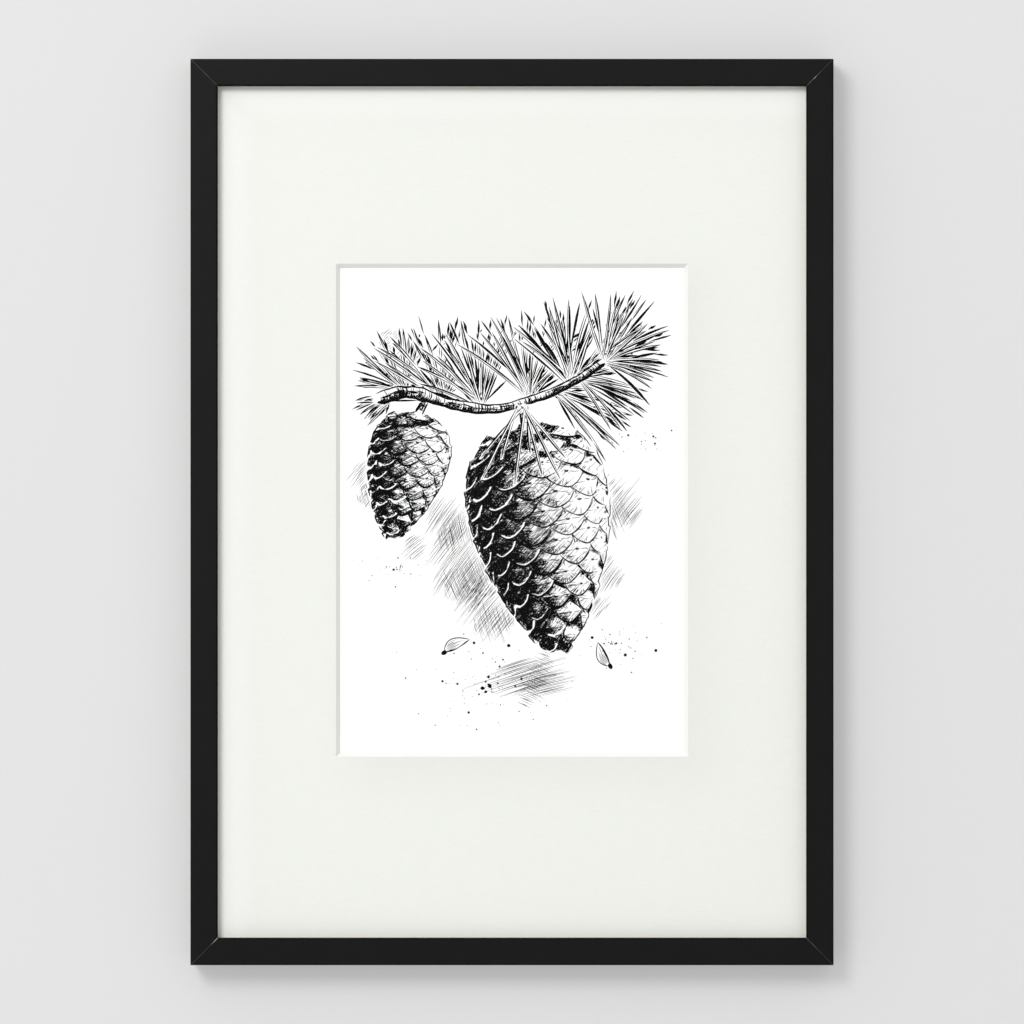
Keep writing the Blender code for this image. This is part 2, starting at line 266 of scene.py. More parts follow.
def shaded_edge_share(material, section):
    """1 on the two rounded front edges, 0 on the flat between them and on the sides."""
    inset, y, _, _ = section
    outer = spread(material, inset, SHADED_EDGE_OUTER - SOFT_EDGE, SHADED_EDGE_OUTER, 1.0, 0.0)
    inner = spread(material, inset, FACE_WIDTH - SHADED_EDGE_INNER - SOFT_EDGE, FACE_WIDTH - SHADED_EDGE_INNER)
    front = spread(material, y, FRONT_Y + SHADED_EDGE_OUTER, FRONT_Y + SHADED_EDGE_OUTER + SOFT_EDGE, 1.0, 0.0)
    return compute(material, "MULTIPLY", compute(material, "MAXIMUM", outer, inner), front)


# widths of the strips of painted shade on the edges, outer and inner, in mm
print("dry edges mm wide, outer and inner:", round(SHADED_EDGE_OUTER / MM, 1), round(SHADED_EDGE_INNER / MM, 1))

# %% Painted moulding
# the second black is painted shade for the two rounded front edges
PAINT_BLACK, EDGE_SHADE_BLACK = 0.0047, 0.0006
MOTTLE_DARK, MOTTLE_LIGHT = 0.85, 1.25
PAINT_GLOSS, BARE_AND_EDGE_ROUGHER = 0.105, 0.3
BARE_LIGHT = (0.60, 0.43, 0.25, 1.0)
BARE_DARK = (0.42, 0.27, 0.14, 1.0)
GRAIN_LONG, GRAIN_FINE = 14.0, 1500.0


def make_moulding_finish(along):
    material = new_finish(f"satin_black_along_{along}")
    stretch = (GRAIN_LONG, GRAIN_FINE, GRAIN_FINE) if along == "x" else (GRAIN_FINE, GRAIN_FINE, GRAIN_LONG)
    grain = noise(material, stretch, detail=5.0)
    streaks = noise(material, tuple(s / 4 for s in stretch), detail=3.0, distortion=0.4)
    mottle = noise(material, 60.0)
    section = section_of(material, along)
    bare, painted_dark = bare_wood_share(material, section), shaded_edge_share(material, section)
    paint = blend_colours(
        material, mottle, grey(PAINT_BLACK * MOTTLE_DARK), grey(PAINT_BLACK * MOTTLE_LIGHT)
    )
    # painted shade: the rounded front edges get the blacker colour
    paint = blend_colours(material, painted_dark, paint, grey(EDGE_SHADE_BLACK))
    wood = blend_colours(material, spread(material, streaks, 0.3, 0.7), BARE_DARK, BARE_LIGHT)
    rougher = compute(material, "MULTIPLY", compute(material, "MAXIMUM", bare, painted_dark), BARE_AND_EDGE_ROUGHER)
    set_shader(
        material,
        Base_Color=blend_colours(material, bare, paint, wood),
        Roughness=compute(material, "ADD", spread(material, grain, 0.3, 0.7, 0.36, 0.46), rougher),
        Normal=relief(material, noise(material, 900.0), 0.006 * MM, relief(material, grain, 0.02 * MM)),
        Specular_IOR_Level=PAINT_GLOSS,
    )
    return material


moulding_finish = {along: make_moulding_finish(along) for along in ("x", "z")}
print("finishes:", [m.name for m in moulding_finish.values()])

# %% [markdown]
# ## Clear glass
#
# A picture's glass is hardly there: straight on, all light passes through to the mat, and from the
# side the sheet takes on a sheen. A refracting solid would be slow and would darken the mat under
# it. So the sheet is clear but for a small share that mirrors the room, and that share grows with
# a power of the angle, as it does on real glass. Layer Weight gives the angle. A Fresnel node
# wouldn't do, because it takes the sheet's rear face for the inside of a block of glass.

# %% Glass
MIRRORED_STRAIGHT, MIRRORED_GLANCING = 0.001, 0.7
GLANCING_POWER = 3.0

glass = new_finish("picture_glass")
turned_away = place(glass, "ShaderNodeLayerWeight", Blend=0.5).outputs["Facing"]
aslant = compute(glass, "POWER", turned_away, GLANCING_POWER)
set_shader(
    glass,
    Base_Color=(0.93, 0.97, 0.94, 1.0),
    Metallic=1.0,
    Alpha=spread(glass, aslant, 0.0, 1.0, MIRRORED_STRAIGHT, MIRRORED_GLANCING),
    Roughness=spread(glass, noise(glass, 18.0, detail=2.0), 0.35, 0.75, 0.02, 0.05),
)
slant = 1 - math.cos(math.radians(60))
print("share mirrored at 60 degrees:", round(slant**GLANCING_POWER * MIRRORED_GLANCING, 3))

# %% [markdown]
# ## Boards and paper
#
# The window mat is board with a thin sheet of coloured paper on its face and a white core. The
# core shows only in the bevel round the opening, so the depth under the face decides which of the
# two a point gets. The face has the fine felt marks of mat board. Its colour also holds painted
# shade, a trace darker round the opening and most below it and on its right. Under the top and
# left lips it holds painted light: a strip that is paler nearest the lips, where their shade
# would fall. The drawing paper is smoother and whiter.

# %% Painted shade round the opening
OPENING_SHADE_REACH = 45.0 * MM
OPENING_SHADE_ASIDE, OPENING_SHADE_BELOW = 12.0 * MM, 8.0 * MM
OPENING_SHADE_DARKER = 0.06


def opening_shade_share(material):
    """How much painted shade darkens the face: most at the opening's lower right, none a reach away."""
    point = split_up(material, point_in_metres(material))
    away = []
    for axis, middle, half in (
        (0, OPENING_SHADE_ASIDE, OPENING_WIDTH / 2 - OPENING_SHADE_ASIDE),
        (2, PAPER_Z - OPENING_SHADE_BELOW, OPENING_HEIGHT / 2 - OPENING_SHADE_BELOW),
    ):
        from_middle = compute(material, "SUBTRACT", point[axis], middle)
        out = compute(material, "SUBTRACT", compute(material, "ABSOLUTE", from_middle), half)
        away.append(compute(material, "POWER", compute(material, "MAXIMUM", out, 0.0), 2.0))
    distance = compute(material, "SQRT", compute(material, "ADD", *away))
    near = spread(material, distance, 0.0, OPENING_SHADE_REACH, 1.0, 0.0)
    return compute(material, "MULTIPLY", compute(material, "POWER", near, 2.0), OPENING_SHADE_DARKER)


# the painted shade round the opening ends this far from it, in mm
print("greying ends mm from the opening:", round(OPENING_SHADE_REACH / MM, 1))

# %% Painted light under the lips
LIP_LIGHT_REACH, LIP_LIGHT_PALER = 24.0 * MM, 0.42


def lip_light_share(material):
    """How much painted light lifts the face: most right under the top and left lips."""
    point = split_up(material, point_in_metres(material))
    from_left = compute(material, "ADD", point[0], OUTER_WIDTH / 2 - FACE_WIDTH)
    from_top = compute(material, "SUBTRACT", CENTRE_Z + OUTER_HEIGHT / 2 - FACE_WIDTH, point[2])
    nearest = compute(material, "MAXIMUM", compute(material, "MINIMUM", from_left, from_top), 0.0)
    near = spread(material, compute(material, "POWER", nearest, 2.0), 0.0, LIP_LIGHT_REACH**2, 1.0, 0.0)
    return compute(material, "MULTIPLY", compute(material, "POWER", near, 2.0), LIP_LIGHT_PALER)


# the strip of painted light under the lips ends this far from the frame, in mm
print("the fresh strip ends mm from the frame:", round(LIP_LIGHT_REACH / MM, 1))

# %% Making board and paper
FACE_PAPER, CUT_SOFTNESS = 0.16 * MM, 0.032 * MM
BOARD_GLOSS = 0.25


def make_board(name, light, shade, depth, core=None, face_y=None):
    """Board or paper: a fibrous tooth of a real depth, and a core colour if it is cut open."""
    material = new_finish(name)
    felt = noise(material, 1400.0, detail=2.0, roughness=0.6)
    fibres = noise(material, (260.0, 900.0, 700.0), detail=2.0, distortion=1.2)
    colour = blend_colours(material, spread(material, fibres, 0.3, 0.7), shade, light)
    if core is not None:
        # painted shade: a trace darker round the opening, most below it and on its right
        colour = blend_colours(material, opening_shade_share(material), colour, grey(0.0))
        # painted light: paler under the top and left lips, where their shade falls
        colour = blend_colours(material, lip_light_share(material), colour, grey(1.0))
        y, core_y = split_up(material, point_in_metres(material))[1], face_y + FACE_PAPER
        cut_open = spread(material, y, core_y, core_y + CUT_SOFTNESS)
        colour = blend_colours(material, cut_open, colour, core)
    set_shader(
        material,
        Base_Color=colour,
        Roughness=spread(material, felt, 0.3, 0.7, 0.82, 0.95),
        Normal=relief(material, fibres, depth, relief(material, felt, depth * 0.6)),
        Specular_IOR_Level=BOARD_GLOSS,
    )
    return material


print("face paper mm:", round(FACE_PAPER / MM, 2))

# %% Mat board, drawing paper and plain board
MAT_COLOUR, MAT_SHADE = (0.806, 0.815, 0.772, 1.0), (0.786, 0.795, 0.752, 1.0)
CORE_COLOUR = (0.805, 0.798, 0.772, 1.0)
PAPER_COLOUR, PAPER_SHADE = (0.955, 0.955, 0.955, 1.0), (0.935, 0.935, 0.932, 1.0)
PLAIN_COLOUR, PLAIN_SHADE = (0.74, 0.73, 0.68, 1.0), (0.70, 0.69, 0.64, 1.0)

mat_board = make_board("mat_board", MAT_COLOUR, MAT_SHADE, 0.03 * MM, CORE_COLOUR, MAT_FRONT_Y)
drawing_paper = make_board("drawing_paper", PAPER_COLOUR, PAPER_SHADE, 0.012 * MM)
plain_board = make_board("plain_board", PLAIN_COLOUR, PLAIN_SHADE, 0.04 * MM)
print("boards:", mat_board.name, drawing_paper.name, plain_board.name)

# %% [markdown]
# ## The back of the picture
#
# Behind the boards a sheet of brown fibreboard closes the frame. Its smooth side faces out: pressed
# wood fibres in all directions, with a few dark flecks. A photo of a board could cover it, but its
# edges would show where it repeats, so two noises stretched along different axes stand in for the
# fibres. The steel points and corner nails are zinc plated and dull and the hanger is brassed and
# brighter, which is one recipe with two sets of colours. The bumpers are matt rubber. The hinge
# tapes, out of sight behind the print, are linen: two crossed waves make its threads.

# %% Fibreboard
fibreboard = new_finish("pressed_fibreboard")
FIBRE_DARK, FIBRE_LIGHT = (0.20, 0.115, 0.058, 1.0), (0.33, 0.205, 0.115, 1.0)
FLECK = (0.09, 0.05, 0.028, 1.0)
matted = noise(fibreboard, (220.0, 220.0, 1300.0), detail=6.0, distortion=2.5)
crossed = noise(fibreboard, (1300.0, 220.0, 220.0), detail=6.0, distortion=2.5)
fibre_mix = compute(fibreboard, "MAXIMUM", matted, crossed)
flecks = spread(fibreboard, noise(fibreboard, 480.0, detail=2.0), 0.66, 0.72)
clouds = blend_colours(fibreboard, noise(fibreboard, 22.0), FIBRE_DARK, FIBRE_LIGHT)
strands = blend_colours(fibreboard, spread(fibreboard, fibre_mix, 0.45, 0.7), clouds, FIBRE_LIGHT)
set_shader(
    fibreboard,
    Base_Color=blend_colours(fibreboard, flecks, strands, FLECK),
    Roughness=spread(fibreboard, fibre_mix, 0.4, 0.8, 0.5, 0.7),
    Normal=relief(fibreboard, fibre_mix, 0.03 * MM),
)
print("nodes in", fibreboard.name, "finish:", len(fibreboard.node_tree.nodes))


# %% Plated steel
def make_plate(name, light, dark, smooth, rough):
    """Thin plated steel: rolling marks along X, and duller clouds where it was handled."""
    material = new_finish(name)
    rolled = noise(material, (120.0, 4000.0, 4000.0), detail=2.0)
    clouds = noise(material, 420.0, detail=5.0)
    set_shader(
        material,
        Base_Color=blend_colours(material, spread(material, clouds, 0.35, 0.75), light, dark),
        Metallic=1.0,
        Roughness=spread(material, clouds, 0.3, 0.8, smooth, rough),
        Normal=relief(material, rolled, 0.008 * MM),
    )
    return material


zinc = make_plate("dull_zinc", (0.60, 0.61, 0.63, 1.0), (0.42, 0.43, 0.45, 1.0), 0.30, 0.55)
brass = make_plate("brassed_plate", (0.80, 0.60, 0.28, 1.0), (0.55, 0.38, 0.15, 1.0), 0.20, 0.45)
print("plates:", zinc.name, brass.name)

# %% Rubber
rubber = new_finish("matt_rubber")
pores = noise(rubber, 1800.0, detail=3.0)
set_shader(
    rubber,
    Base_Color=blend_colours(rubber, pores, grey(0.018), grey(0.035)),
    Roughness=spread(rubber, pores, 0.3, 0.7, 0.6, 0.8),
    Normal=relief(rubber, pores, 0.03 * MM),
)
print("finish:", rubber.name)

# %% Linen tape
THREADS = 450.0

linen = new_finish("woven_linen")
warp, weft = (
    place(linen, "ShaderNodeTexWave", {"bands_direction": way}, Vector=point_in_metres(linen), Scale=THREADS)
    for way in ("X", "Z")
)
weave = compute(linen, "MAXIMUM", warp.outputs[1], weft.outputs[1])
set_shader(
    linen,
    Base_Color=blend_colours(linen, weave, (0.62, 0.60, 0.54, 1.0), (0.80, 0.78, 0.72, 1.0)),
    Roughness=0.9,
    Normal=relief(linen, weave, 0.05 * MM),
)
print("finish:", linen.name)

# %% [markdown]
# Each solid keeps its shape and only swaps its plain colour for a finish. The first part of a
# solid's name says what it is, so one short table dresses them all. The glass is left out of the
# shadow and bounce rays: clear glass changes next to nothing there, and the picture renders sooner.

# %% Dress the solids
FINISH_BY_NAME = {
    "rail": moulding_finish["x"],
    "stile": moulding_finish["z"],
    "glazing": glass,
    "window": mat_board,
    "art": drawing_paper,
    "backing": plain_board,
    "back": fibreboard,
    "hinge": linen,
    "flexible": zinc,
    "corner": zinc,
    "sawtooth": brass,
    "hanger": brass,
    "bumper": rubber,
}
for name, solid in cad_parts.items():
    finish = FINISH_BY_NAME[name.split("_")[0]]
    solid.data.materials.clear()
    solid.data.materials.append(finish)
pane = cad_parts["glazing"]
pane.visible_shadow = pane.visible_diffuse = False
print("dressed:", len(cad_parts))

# %% [markdown]
# ## The glue line in each mitre
#
# Where two lengths meet, the cut ends are glued, and a hair of filler shows as a slightly paler
# diagonal. Its paleness is partly the filler and chipped paint and partly a painted highlight, for
# the light that the cut edges catch. It isn't even: at one corner it has nearly the paint's black,
# at another it is pale where the paint has chipped off. It could be drawn in the paint, but a real
# sliver in the joint also shows on the outside of the corner. It is a thin plate in the plane of
# the mitre, with the moulding's own outline, sunk a hair below it. How pale it is at each place is
# stored on its points as an attribute, which the finish reads.

# %% Finish of the glue line
PALE = "paleness"
TINT = (1.0, 0.97, 0.91, 1.0)
filler = new_finish("mitre_filler")
paleness = place(filler, "ShaderNodeAttribute", {"attribute_name": PALE}).outputs["Fac"]
uneven = spread(filler, noise(filler, 900.0, detail=3.0), 0.3, 0.7, 0.7, 1.3)
set_shader(
    filler,
    # paler where the points say: filler and chipped paint, and partly a painted highlight
    Base_Color=blend_colours(filler, compute(filler, "MULTIPLY", paleness, uneven), grey(0.0), TINT),
    Roughness=spread(filler, noise(filler, 1500.0), 0.3, 0.7, 0.55, 0.75),
    Normal=relief(filler, noise(filler, 2500.0), 0.02 * MM),
)
print("finish:", filler.name)

# %% The glue line's shape
FILLER_WIDTH = 0.26 * MM
FILLER_SUNK = 0.12 * MM
OUTER_ROUND, INNER_ROUND = 1.2 * MM, 0.8 * MM
REBATE_WIDTH = 5.0 * MM
ROUND_STEPS, FLAT_STEPS = 4, 30


def quarter_round(centre, radius, start):
    """Points of a quarter circle in (inset, depth), from the angle start in degrees."""
    angles = [math.radians(start + 90 * i / ROUND_STEPS) for i in range(ROUND_STEPS + 1)]
    return [(centre[0] + radius * math.cos(a), centre[1] + radius * math.sin(a)) for a in angles]


def moulding_outline(sunk):
    """The moulding's section as (inset, depth), drawn in by sunk all round its show side."""
    outer, inner = OUTER_ROUND - sunk, INNER_ROUND - sunk
    lip, depth = LIP_BACK_Y - FRONT_Y, BACK_Y - FRONT_Y
    flat = np.linspace(OUTER_ROUND, FACE_WIDTH - INNER_ROUND, FLAT_STEPS + 1)[1:-1]
    return [
        *quarter_round((OUTER_ROUND, OUTER_ROUND), outer, 180),
        *[(inset, sunk) for inset in flat],
        *quarter_round((FACE_WIDTH - INNER_ROUND, INNER_ROUND), inner, 270),
        (FACE_WIDTH - sunk, lip - sunk),
        (FACE_WIDTH - REBATE_WIDTH, lip - sunk),
        (FACE_WIDTH - REBATE_WIDTH, depth - sunk),
        (sunk, depth - sunk),
    ]


print("points in the glue line's outline:", len(moulding_outline(FILLER_SUNK)))


# %% A piece of the picture
def add_piece(name, points, faces, material):
    """A mesh that rides with the picture and takes the finish it is given."""
    mesh = bpy.data.meshes.new(name)
    mesh.from_pydata(points, [], faces)
    mesh.validate()
    piece = bpy.data.objects.new(name, mesh)
    bpy.context.scene.collection.objects.link(piece)
    mesh.materials.append(material)
    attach(piece, "root")
    return piece


# %% How pale each glue line is: filler, chipped paint and a painted highlight
PALENESS_AND_HIGHLIGHT = {  # (share of the way in from the outer corner, how pale)
    "top_left": ((0.0, 0.06), (0.1, 0.045), (0.45, 0.05), (0.6, 0.08), (0.75, 0.045), (1.0, 0.06)),
    "top_right": (
        (0.0, 0.03), (0.42, 0.04), (0.5, 0.10), (0.62, 0.09), (0.68, 0.60), (0.74, 0.30), (0.78, 0.12),
        (1.0, 0.12),
    ),
    "bottom_left": (
        (0.0, 0.05), (0.1, 0.10), (0.2, 0.03), (0.38, 0.08), (0.5, 0.03), (0.7, 0.04), (0.78, 0.12),
        (0.86, 0.40), (1.0, 0.95),
    ),
    "bottom_right": ((0.0, 0.03), (0.5, 0.03), (0.6, 0.06), (0.78, 0.12), (0.85, 0.06), (1.0, 0.10)),
}
print("the palest place of each:", {name: max(pale for _, pale in line) for name, line in PALENESS_AND_HIGHLIGHT.items()})


# %% The glue lines
def add_glue_line(corner_name, sign_x, sign_z):
    outline = moulding_outline(FILLER_SUNK)
    corner = Vector((sign_x * OUTER_WIDTH / 2, FRONT_Y, CENTRE_Z + sign_z * OUTER_HEIGHT / 2))
    across = Vector((sign_x, 0.0, -sign_z)).normalized() * FILLER_WIDTH / 2
    points = []
    for side in (-1, 1):
        for inset, depth in outline:
            points.append(corner + Vector((-sign_x * inset, depth, -sign_z * inset)) + across * side)
    count = len(outline)
    faces = [tuple(range(count)), tuple(range(2 * count - 1, count - 1, -1))]
    faces += [((i + 1) % count, i, i + count, (i + 1) % count + count) for i in range(count)]
    if sign_x * sign_z < 0:
        faces = [tuple(reversed(face)) for face in faces]
    line = add_piece(f"glue_line_{corner_name}", points, faces, filler)
    pale = np.interp([inset / FACE_WIDTH for inset, _ in outline], *zip(*PALENESS_AND_HIGHLIGHT[corner_name]))
    line.data.attributes.new(PALE, "FLOAT", "POINT").data.foreach_set("value", np.tile(pale, 2))


for height, sign_z in (("top", 1), ("bottom", -1)):
    for side, sign_x in (("left", -1), ("right", 1)):
        add_glue_line(f"{height}_{side}", sign_x, sign_z)
print("glue lines:", len(PALENESS_AND_HIGHLIGHT))

# %% [markdown]
# ## The drawing, as low ridges of ink
#
# The picture in the window is a pen drawing of two pine cones on a needled twig. Ink dries as a
# low ridge on the paper, so each stroke is made as one: a thin closed body that swells in its
# middle and lifts off at its ends. The drawing is planned in millimetres on the sheet, x to the
# right and z up from the middle of the window. Only its last step makes meshes.
#
# Pen drawings are worked from front to back, since ink can't be covered. A map of the sheet
# remembers what is taken, and a line that comes from behind breaks off there.

# %% The sheet and its map
SHEET_WIDTH, SHEET_HEIGHT = OPENING_WIDTH / MM, OPENING_HEIGHT / MM
CELL = 0.25
PATH_STEP = CELL * 2
MARGIN = 7.0
COLUMNS, ROWS = int(SHEET_WIDTH / CELL), int(SHEET_HEIGHT / CELL)

chance = np.random.default_rng(11)
taken = np.zeros((ROWS, COLUMNS), bool)
strokes, drops = {}, {}


def cell_of(points):
    """Row and column of the map under each point."""
    column = ((points[..., 0] + SHEET_WIDTH / 2) / CELL).astype(int)
    row = ((points[..., 1] + SHEET_HEIGHT / 2) / CELL).astype(int)
    return np.clip(row, 0, ROWS - 1), np.clip(column, 0, COLUMNS - 1)


def on_sheet(points, margin=MARGIN):
    inside_width = abs(points[..., 0]) < SHEET_WIDTH / 2 - margin
    return inside_width & (abs(points[..., 1]) < SHEET_HEIGHT / 2 - margin)


def runs(keep, shortest=4):
    """Start and stop of each unbroken stretch of True, leaving out the short ones."""
    edges = np.flatnonzero(np.diff(np.r_[0, keep.astype(int), 0]))
    return [(start, stop) for start, stop in zip(edges[::2], edges[1::2]) if stop - start >= shortest]


print("sheet mm:", round(SHEET_WIDTH, 1), round(SHEET_HEIGHT, 1), "map:", ROWS, "x", COLUMNS)

# %% [markdown]
# A hand is never quite steady: it drifts slowly rather than shaking. Random numbers smoothed
# along the line give that drift. The same smoothing in two directions softens a map of tones.

# %% Even steps, slow drift and soft maps
def resample(points, step):
    """The same line with points at even steps."""
    lengths = np.r_[0, np.cumsum(np.hypot(*np.diff(points, axis=0).T))]
    at = np.linspace(0, lengths[-1], max(3, int(round(lengths[-1] / step)) + 1))
    return np.stack([np.interp(at, lengths, points[:, axis]) for axis in (0, 1)], 1)


def drift(count, reach=2):
    """Smooth random numbers, about 1 in size."""
    window = np.hanning(2 * reach + 1)
    raw = chance.normal(size=count + 2 * reach)
    return np.convolve(raw, window / np.sqrt((window**2).sum()), "valid")[:count]


def blur(field, reach):
    """Three running means in each direction, close to a Gaussian. reach is in cells."""
    size = 2 * reach + 1
    for axis in (0, 1) * 3:
        ends = [(0, 0), (0, 0)]
        ends[axis] = (reach + 1, reach)
        total = np.cumsum(np.pad(field, ends, mode="edge"), axis=axis)
        high = np.take(total, range(size, total.shape[axis]), axis=axis)
        low = np.take(total, range(total.shape[axis] - size), axis=axis)
        field = (high - low) / size
    return field


ten_millimetres = np.array([[0.0, 0.0], [10.0, 0.0]])
print("points in 10 mm at steps of 2 mm:", len(resample(ten_millimetres, 2.0)))


# %% The pen
NIB = 1.75
THINNEST = 0.10
LINE_END = 0.25
UNEVEN = 0.12


def pen(layer, points, width, wobble=0.12, lift=0.35, step=2.0, shortest=4):
    """One stroke: it swells, lifts off at both ends and stops where the sheet is taken."""
    path = resample(points, PATH_STEP)
    for start, stop in runs(~taken[cell_of(path)] & on_sheet(path, 1.0), shortest):
        line = resample(path[start:stop], step)
        count = len(line)
        line = line + wobble / 2 * np.stack([drift(count), drift(count)], 1)
        share = np.linspace(0, 1, count)
        swell = np.sin(np.minimum(1, np.minimum(share, 1 - share) / lift) * math.pi / 2)
        widths = NIB * width * (LINE_END + (1 - LINE_END) * swell) * (1 + UNEVEN * drift(count))
        strokes.setdefault(layer, []).append((line, np.maximum(widths, THINNEST)))


def claim(points, radius):
    """Marks the sheet as taken within a radius of a line."""
    reach = int(math.ceil(radius / CELL))
    rows, columns = np.mgrid[-reach : reach + 1, -reach : reach + 1]
    near = rows**2 + columns**2 <= (radius / CELL) ** 2
    row, column = cell_of(resample(points, CELL * 1.5))
    taken[
        np.clip(row[:, None] + rows[near], 0, ROWS - 1),
        np.clip(column[:, None] + columns[near], 0, COLUMNS - 1),
    ] = True


print("a line of width 0.2 comes out mm wide:", round(NIB * 0.2, 2))


# %% [markdown]
# ## The shape of a pine cone
#
# A cone's scales sit in a spiral round its core, each turned on from the last by the golden
# angle, which packs them evenly. A scale shows as a rounded rhomb that domes outward, with a
# small boss in its middle. So that the pen knows what is in front and how dark it is, the cone is
# first built scale by scale as a map of heights and light. Here points are (x, z, h), where h
# comes out of the sheet.

# %% A cone's body
TOWARD_VIEWER = np.array([0.0, 0.0, 1.0])
WIDEST_EARLY, FULLNESS = 0.62, 0.62  # below 1: widest above the middle, and blunt at the ends


class Cone:
    """Where a cone hangs and how big it is. turn swings it sideways from straight down."""

    def __init__(self, top, turn, length, radius):
        self.top = np.array([*top, 0.0])
        self.down = np.array([math.sin(turn), -math.cos(turn), 0.0])
        self.right = np.array([math.cos(turn), math.sin(turn), 0.0])
        self.turn, self.length, self.radius = turn, length, radius
        self.scales = []

    def girth(self, share):
        """The core's radius at a share of the length: full near the top, tapering to the tip."""
        return self.radius * np.sin(math.pi * np.clip(share, 0.0, 1.0) ** WIDEST_EARLY) ** FULLNESS


trial_cone = Cone((0, 0), 0.0, length=100, radius=25)
print("a cone 25 mm in radius is widest at", int(trial_cone.girth(np.linspace(0, 1, 101)).argmax()), "%")

# %% One scale's place and directions
SCALE_TILT = math.radians(28)
SLOPE_STEP, SLOPE_LIMITS = 0.02, (-1.6, 1.2)
SMALLEST, LARGER_BY_GIRTH = 0.52, 0.58  # shares of the usual size
TOP_SIZE, SMALLER_BELOW = 1.02, 0.12


def make_scale(cone, usual_size, share, round_axis):
    """The scale's own directions: across, along (to its tip) and out."""
    girth = cone.girth(share)
    ahead, behind = cone.girth(min(share + SLOPE_STEP, 0.999)), cone.girth(max(share - SLOPE_STEP, 0.001))
    radial = cone.right * math.sin(round_axis) + TOWARD_VIEWER * math.cos(round_axis)
    across = cone.right * math.cos(round_axis) - TOWARD_VIEWER * math.sin(round_axis)
    along = cone.down + radial * np.clip((ahead - behind) / (2 * SLOPE_STEP * cone.length), *SLOPE_LIMITS)
    along /= np.linalg.norm(along)
    normal = np.cross(along, across)
    normal *= 1 if normal @ radial > 0 else -1
    by_girth = SMALLEST + LARGER_BY_GIRTH * girth / cone.radius
    return {
        "centre": cone.top + cone.down * share * cone.length + radial * girth,
        "radial": radial,
        "across": across,
        "along": along * math.cos(SCALE_TILT) + normal * math.sin(SCALE_TILT),
        "out": normal * math.cos(SCALE_TILT) - along * math.sin(SCALE_TILT),
        "size": usual_size * by_girth * (TOP_SIZE - SMALLER_BELOW * share),
    }


trial_scale = make_scale(trial_cone, 10.0, 0.5, 0.0)
print("a scale facing the viewer points out to:", trial_scale["out"].round(2))

# %% The spiral of scales
GOLDEN_ANGLE = math.radians(137.508)
AREA_SHARE, END_ALLOWANCE = 0.78, 0.12  # of a cylinder's area; of the radius, for the two ends
BACK_LIMIT = -0.5
FIRST_SCALE, LAST_SCALE = 0.02, 0.985  # shares of the cone's length


def grow_cone(top, turn, length, radius, count):
    """A cone with its scales set evenly in their spiral, without those at its back."""
    cone = Cone(top, turn, length, radius)
    usual_size = math.sqrt(2 * math.pi * radius * length * AREA_SHARE / count)
    shares = np.linspace(FIRST_SCALE, LAST_SCALE, 400)
    covered = np.cumsum(cone.girth(shares) + END_ALLOWANCE * radius)
    evenly = (np.arange(count) + 0.5) / count * covered[-1]
    for number, share in enumerate(np.interp(evenly, covered, shares)):
        scale = make_scale(cone, usual_size, float(share), number * GOLDEN_ANGLE)
        if scale["centre"][2] > BACK_LIMIT * radius:
            cone.scales.append(scale)
    return cone


print("scales on the front of a cone of 100:", len(grow_cone((0, 0), 0.0, 100, 25, 100).scales))

# %% The surface of a scale
SCALE_WIDE, SCALE_LONG = 0.80, 0.62
RHOMB_POWER = 1.45
DOME_RISE, BOSS_RISE, KEEL_DROP = 0.20, 0.10, 0.12  # shares of the scale's size
DOME_SQUARE, DOME_FLAT = 1.25, 1.6  # powers: how square its contours, how flat its middle
BOSS_SPREAD, KEEL_POWER = 0.03, 0.8


def rim(angle, size=1.0):
    """A scale's outline as shares across and along it: a rhomb with bowed sides."""
    c, s = np.cos(angle), np.sin(angle)
    reach = size * (np.abs(c) ** RHOMB_POWER + np.abs(s) ** RHOMB_POWER) ** (-1 / RHOMB_POWER)
    return reach * c, reach * s


def on_scale(scale, across, along):
    """Points (x, z, h) on a scale's domed face, with its boss and its keel."""
    off_middle = np.abs(across) ** DOME_SQUARE + np.abs(along) ** DOME_SQUARE
    rise = DOME_RISE * (1 - off_middle**DOME_FLAT)
    boss = BOSS_RISE * np.exp(-(across**2 + along**2) / BOSS_SPREAD)
    keel = -KEEL_DROP * np.abs(along) ** KEEL_POWER
    shares = ((across * SCALE_WIDE, "across"), (along * SCALE_LONG, "along"), (rise + boss + keel, "out"))
    return scale["centre"] + sum((share * scale["size"])[..., None] * scale[key] for share, key in shares)


print("the rim halfway between side and tip reaches:", [round(float(reach), 2) for reach in rim(math.pi / 4)])


# %% [markdown]
# Each surface is sampled more finely than the map's cells, and in each cell the nearest sample
# wins. The light comes over the right shoulder, so the cones turn dark on their left.

# %% Heights and light on the map
LIGHT_FROM = np.array([0.62, 0.52, 0.59]) / np.linalg.norm([0.62, 0.52, 0.59])
ALL_ROUND, DIRECT = 0.16, 0.95  # light on a scale's face
BODY_MIDDLE, BODY_LIT, BODY_LIMITS = 0.52, 0.62, (0.30, 1.15)  # light on the cone as a whole
ROOT_LIT, ROOT_DARKER = 0.5, 0.45  # between the scales
NOTHING = -1e3
heights = np.full((ROWS, COLUMNS), NOTHING)
tones = np.ones((ROWS, COLUMNS))


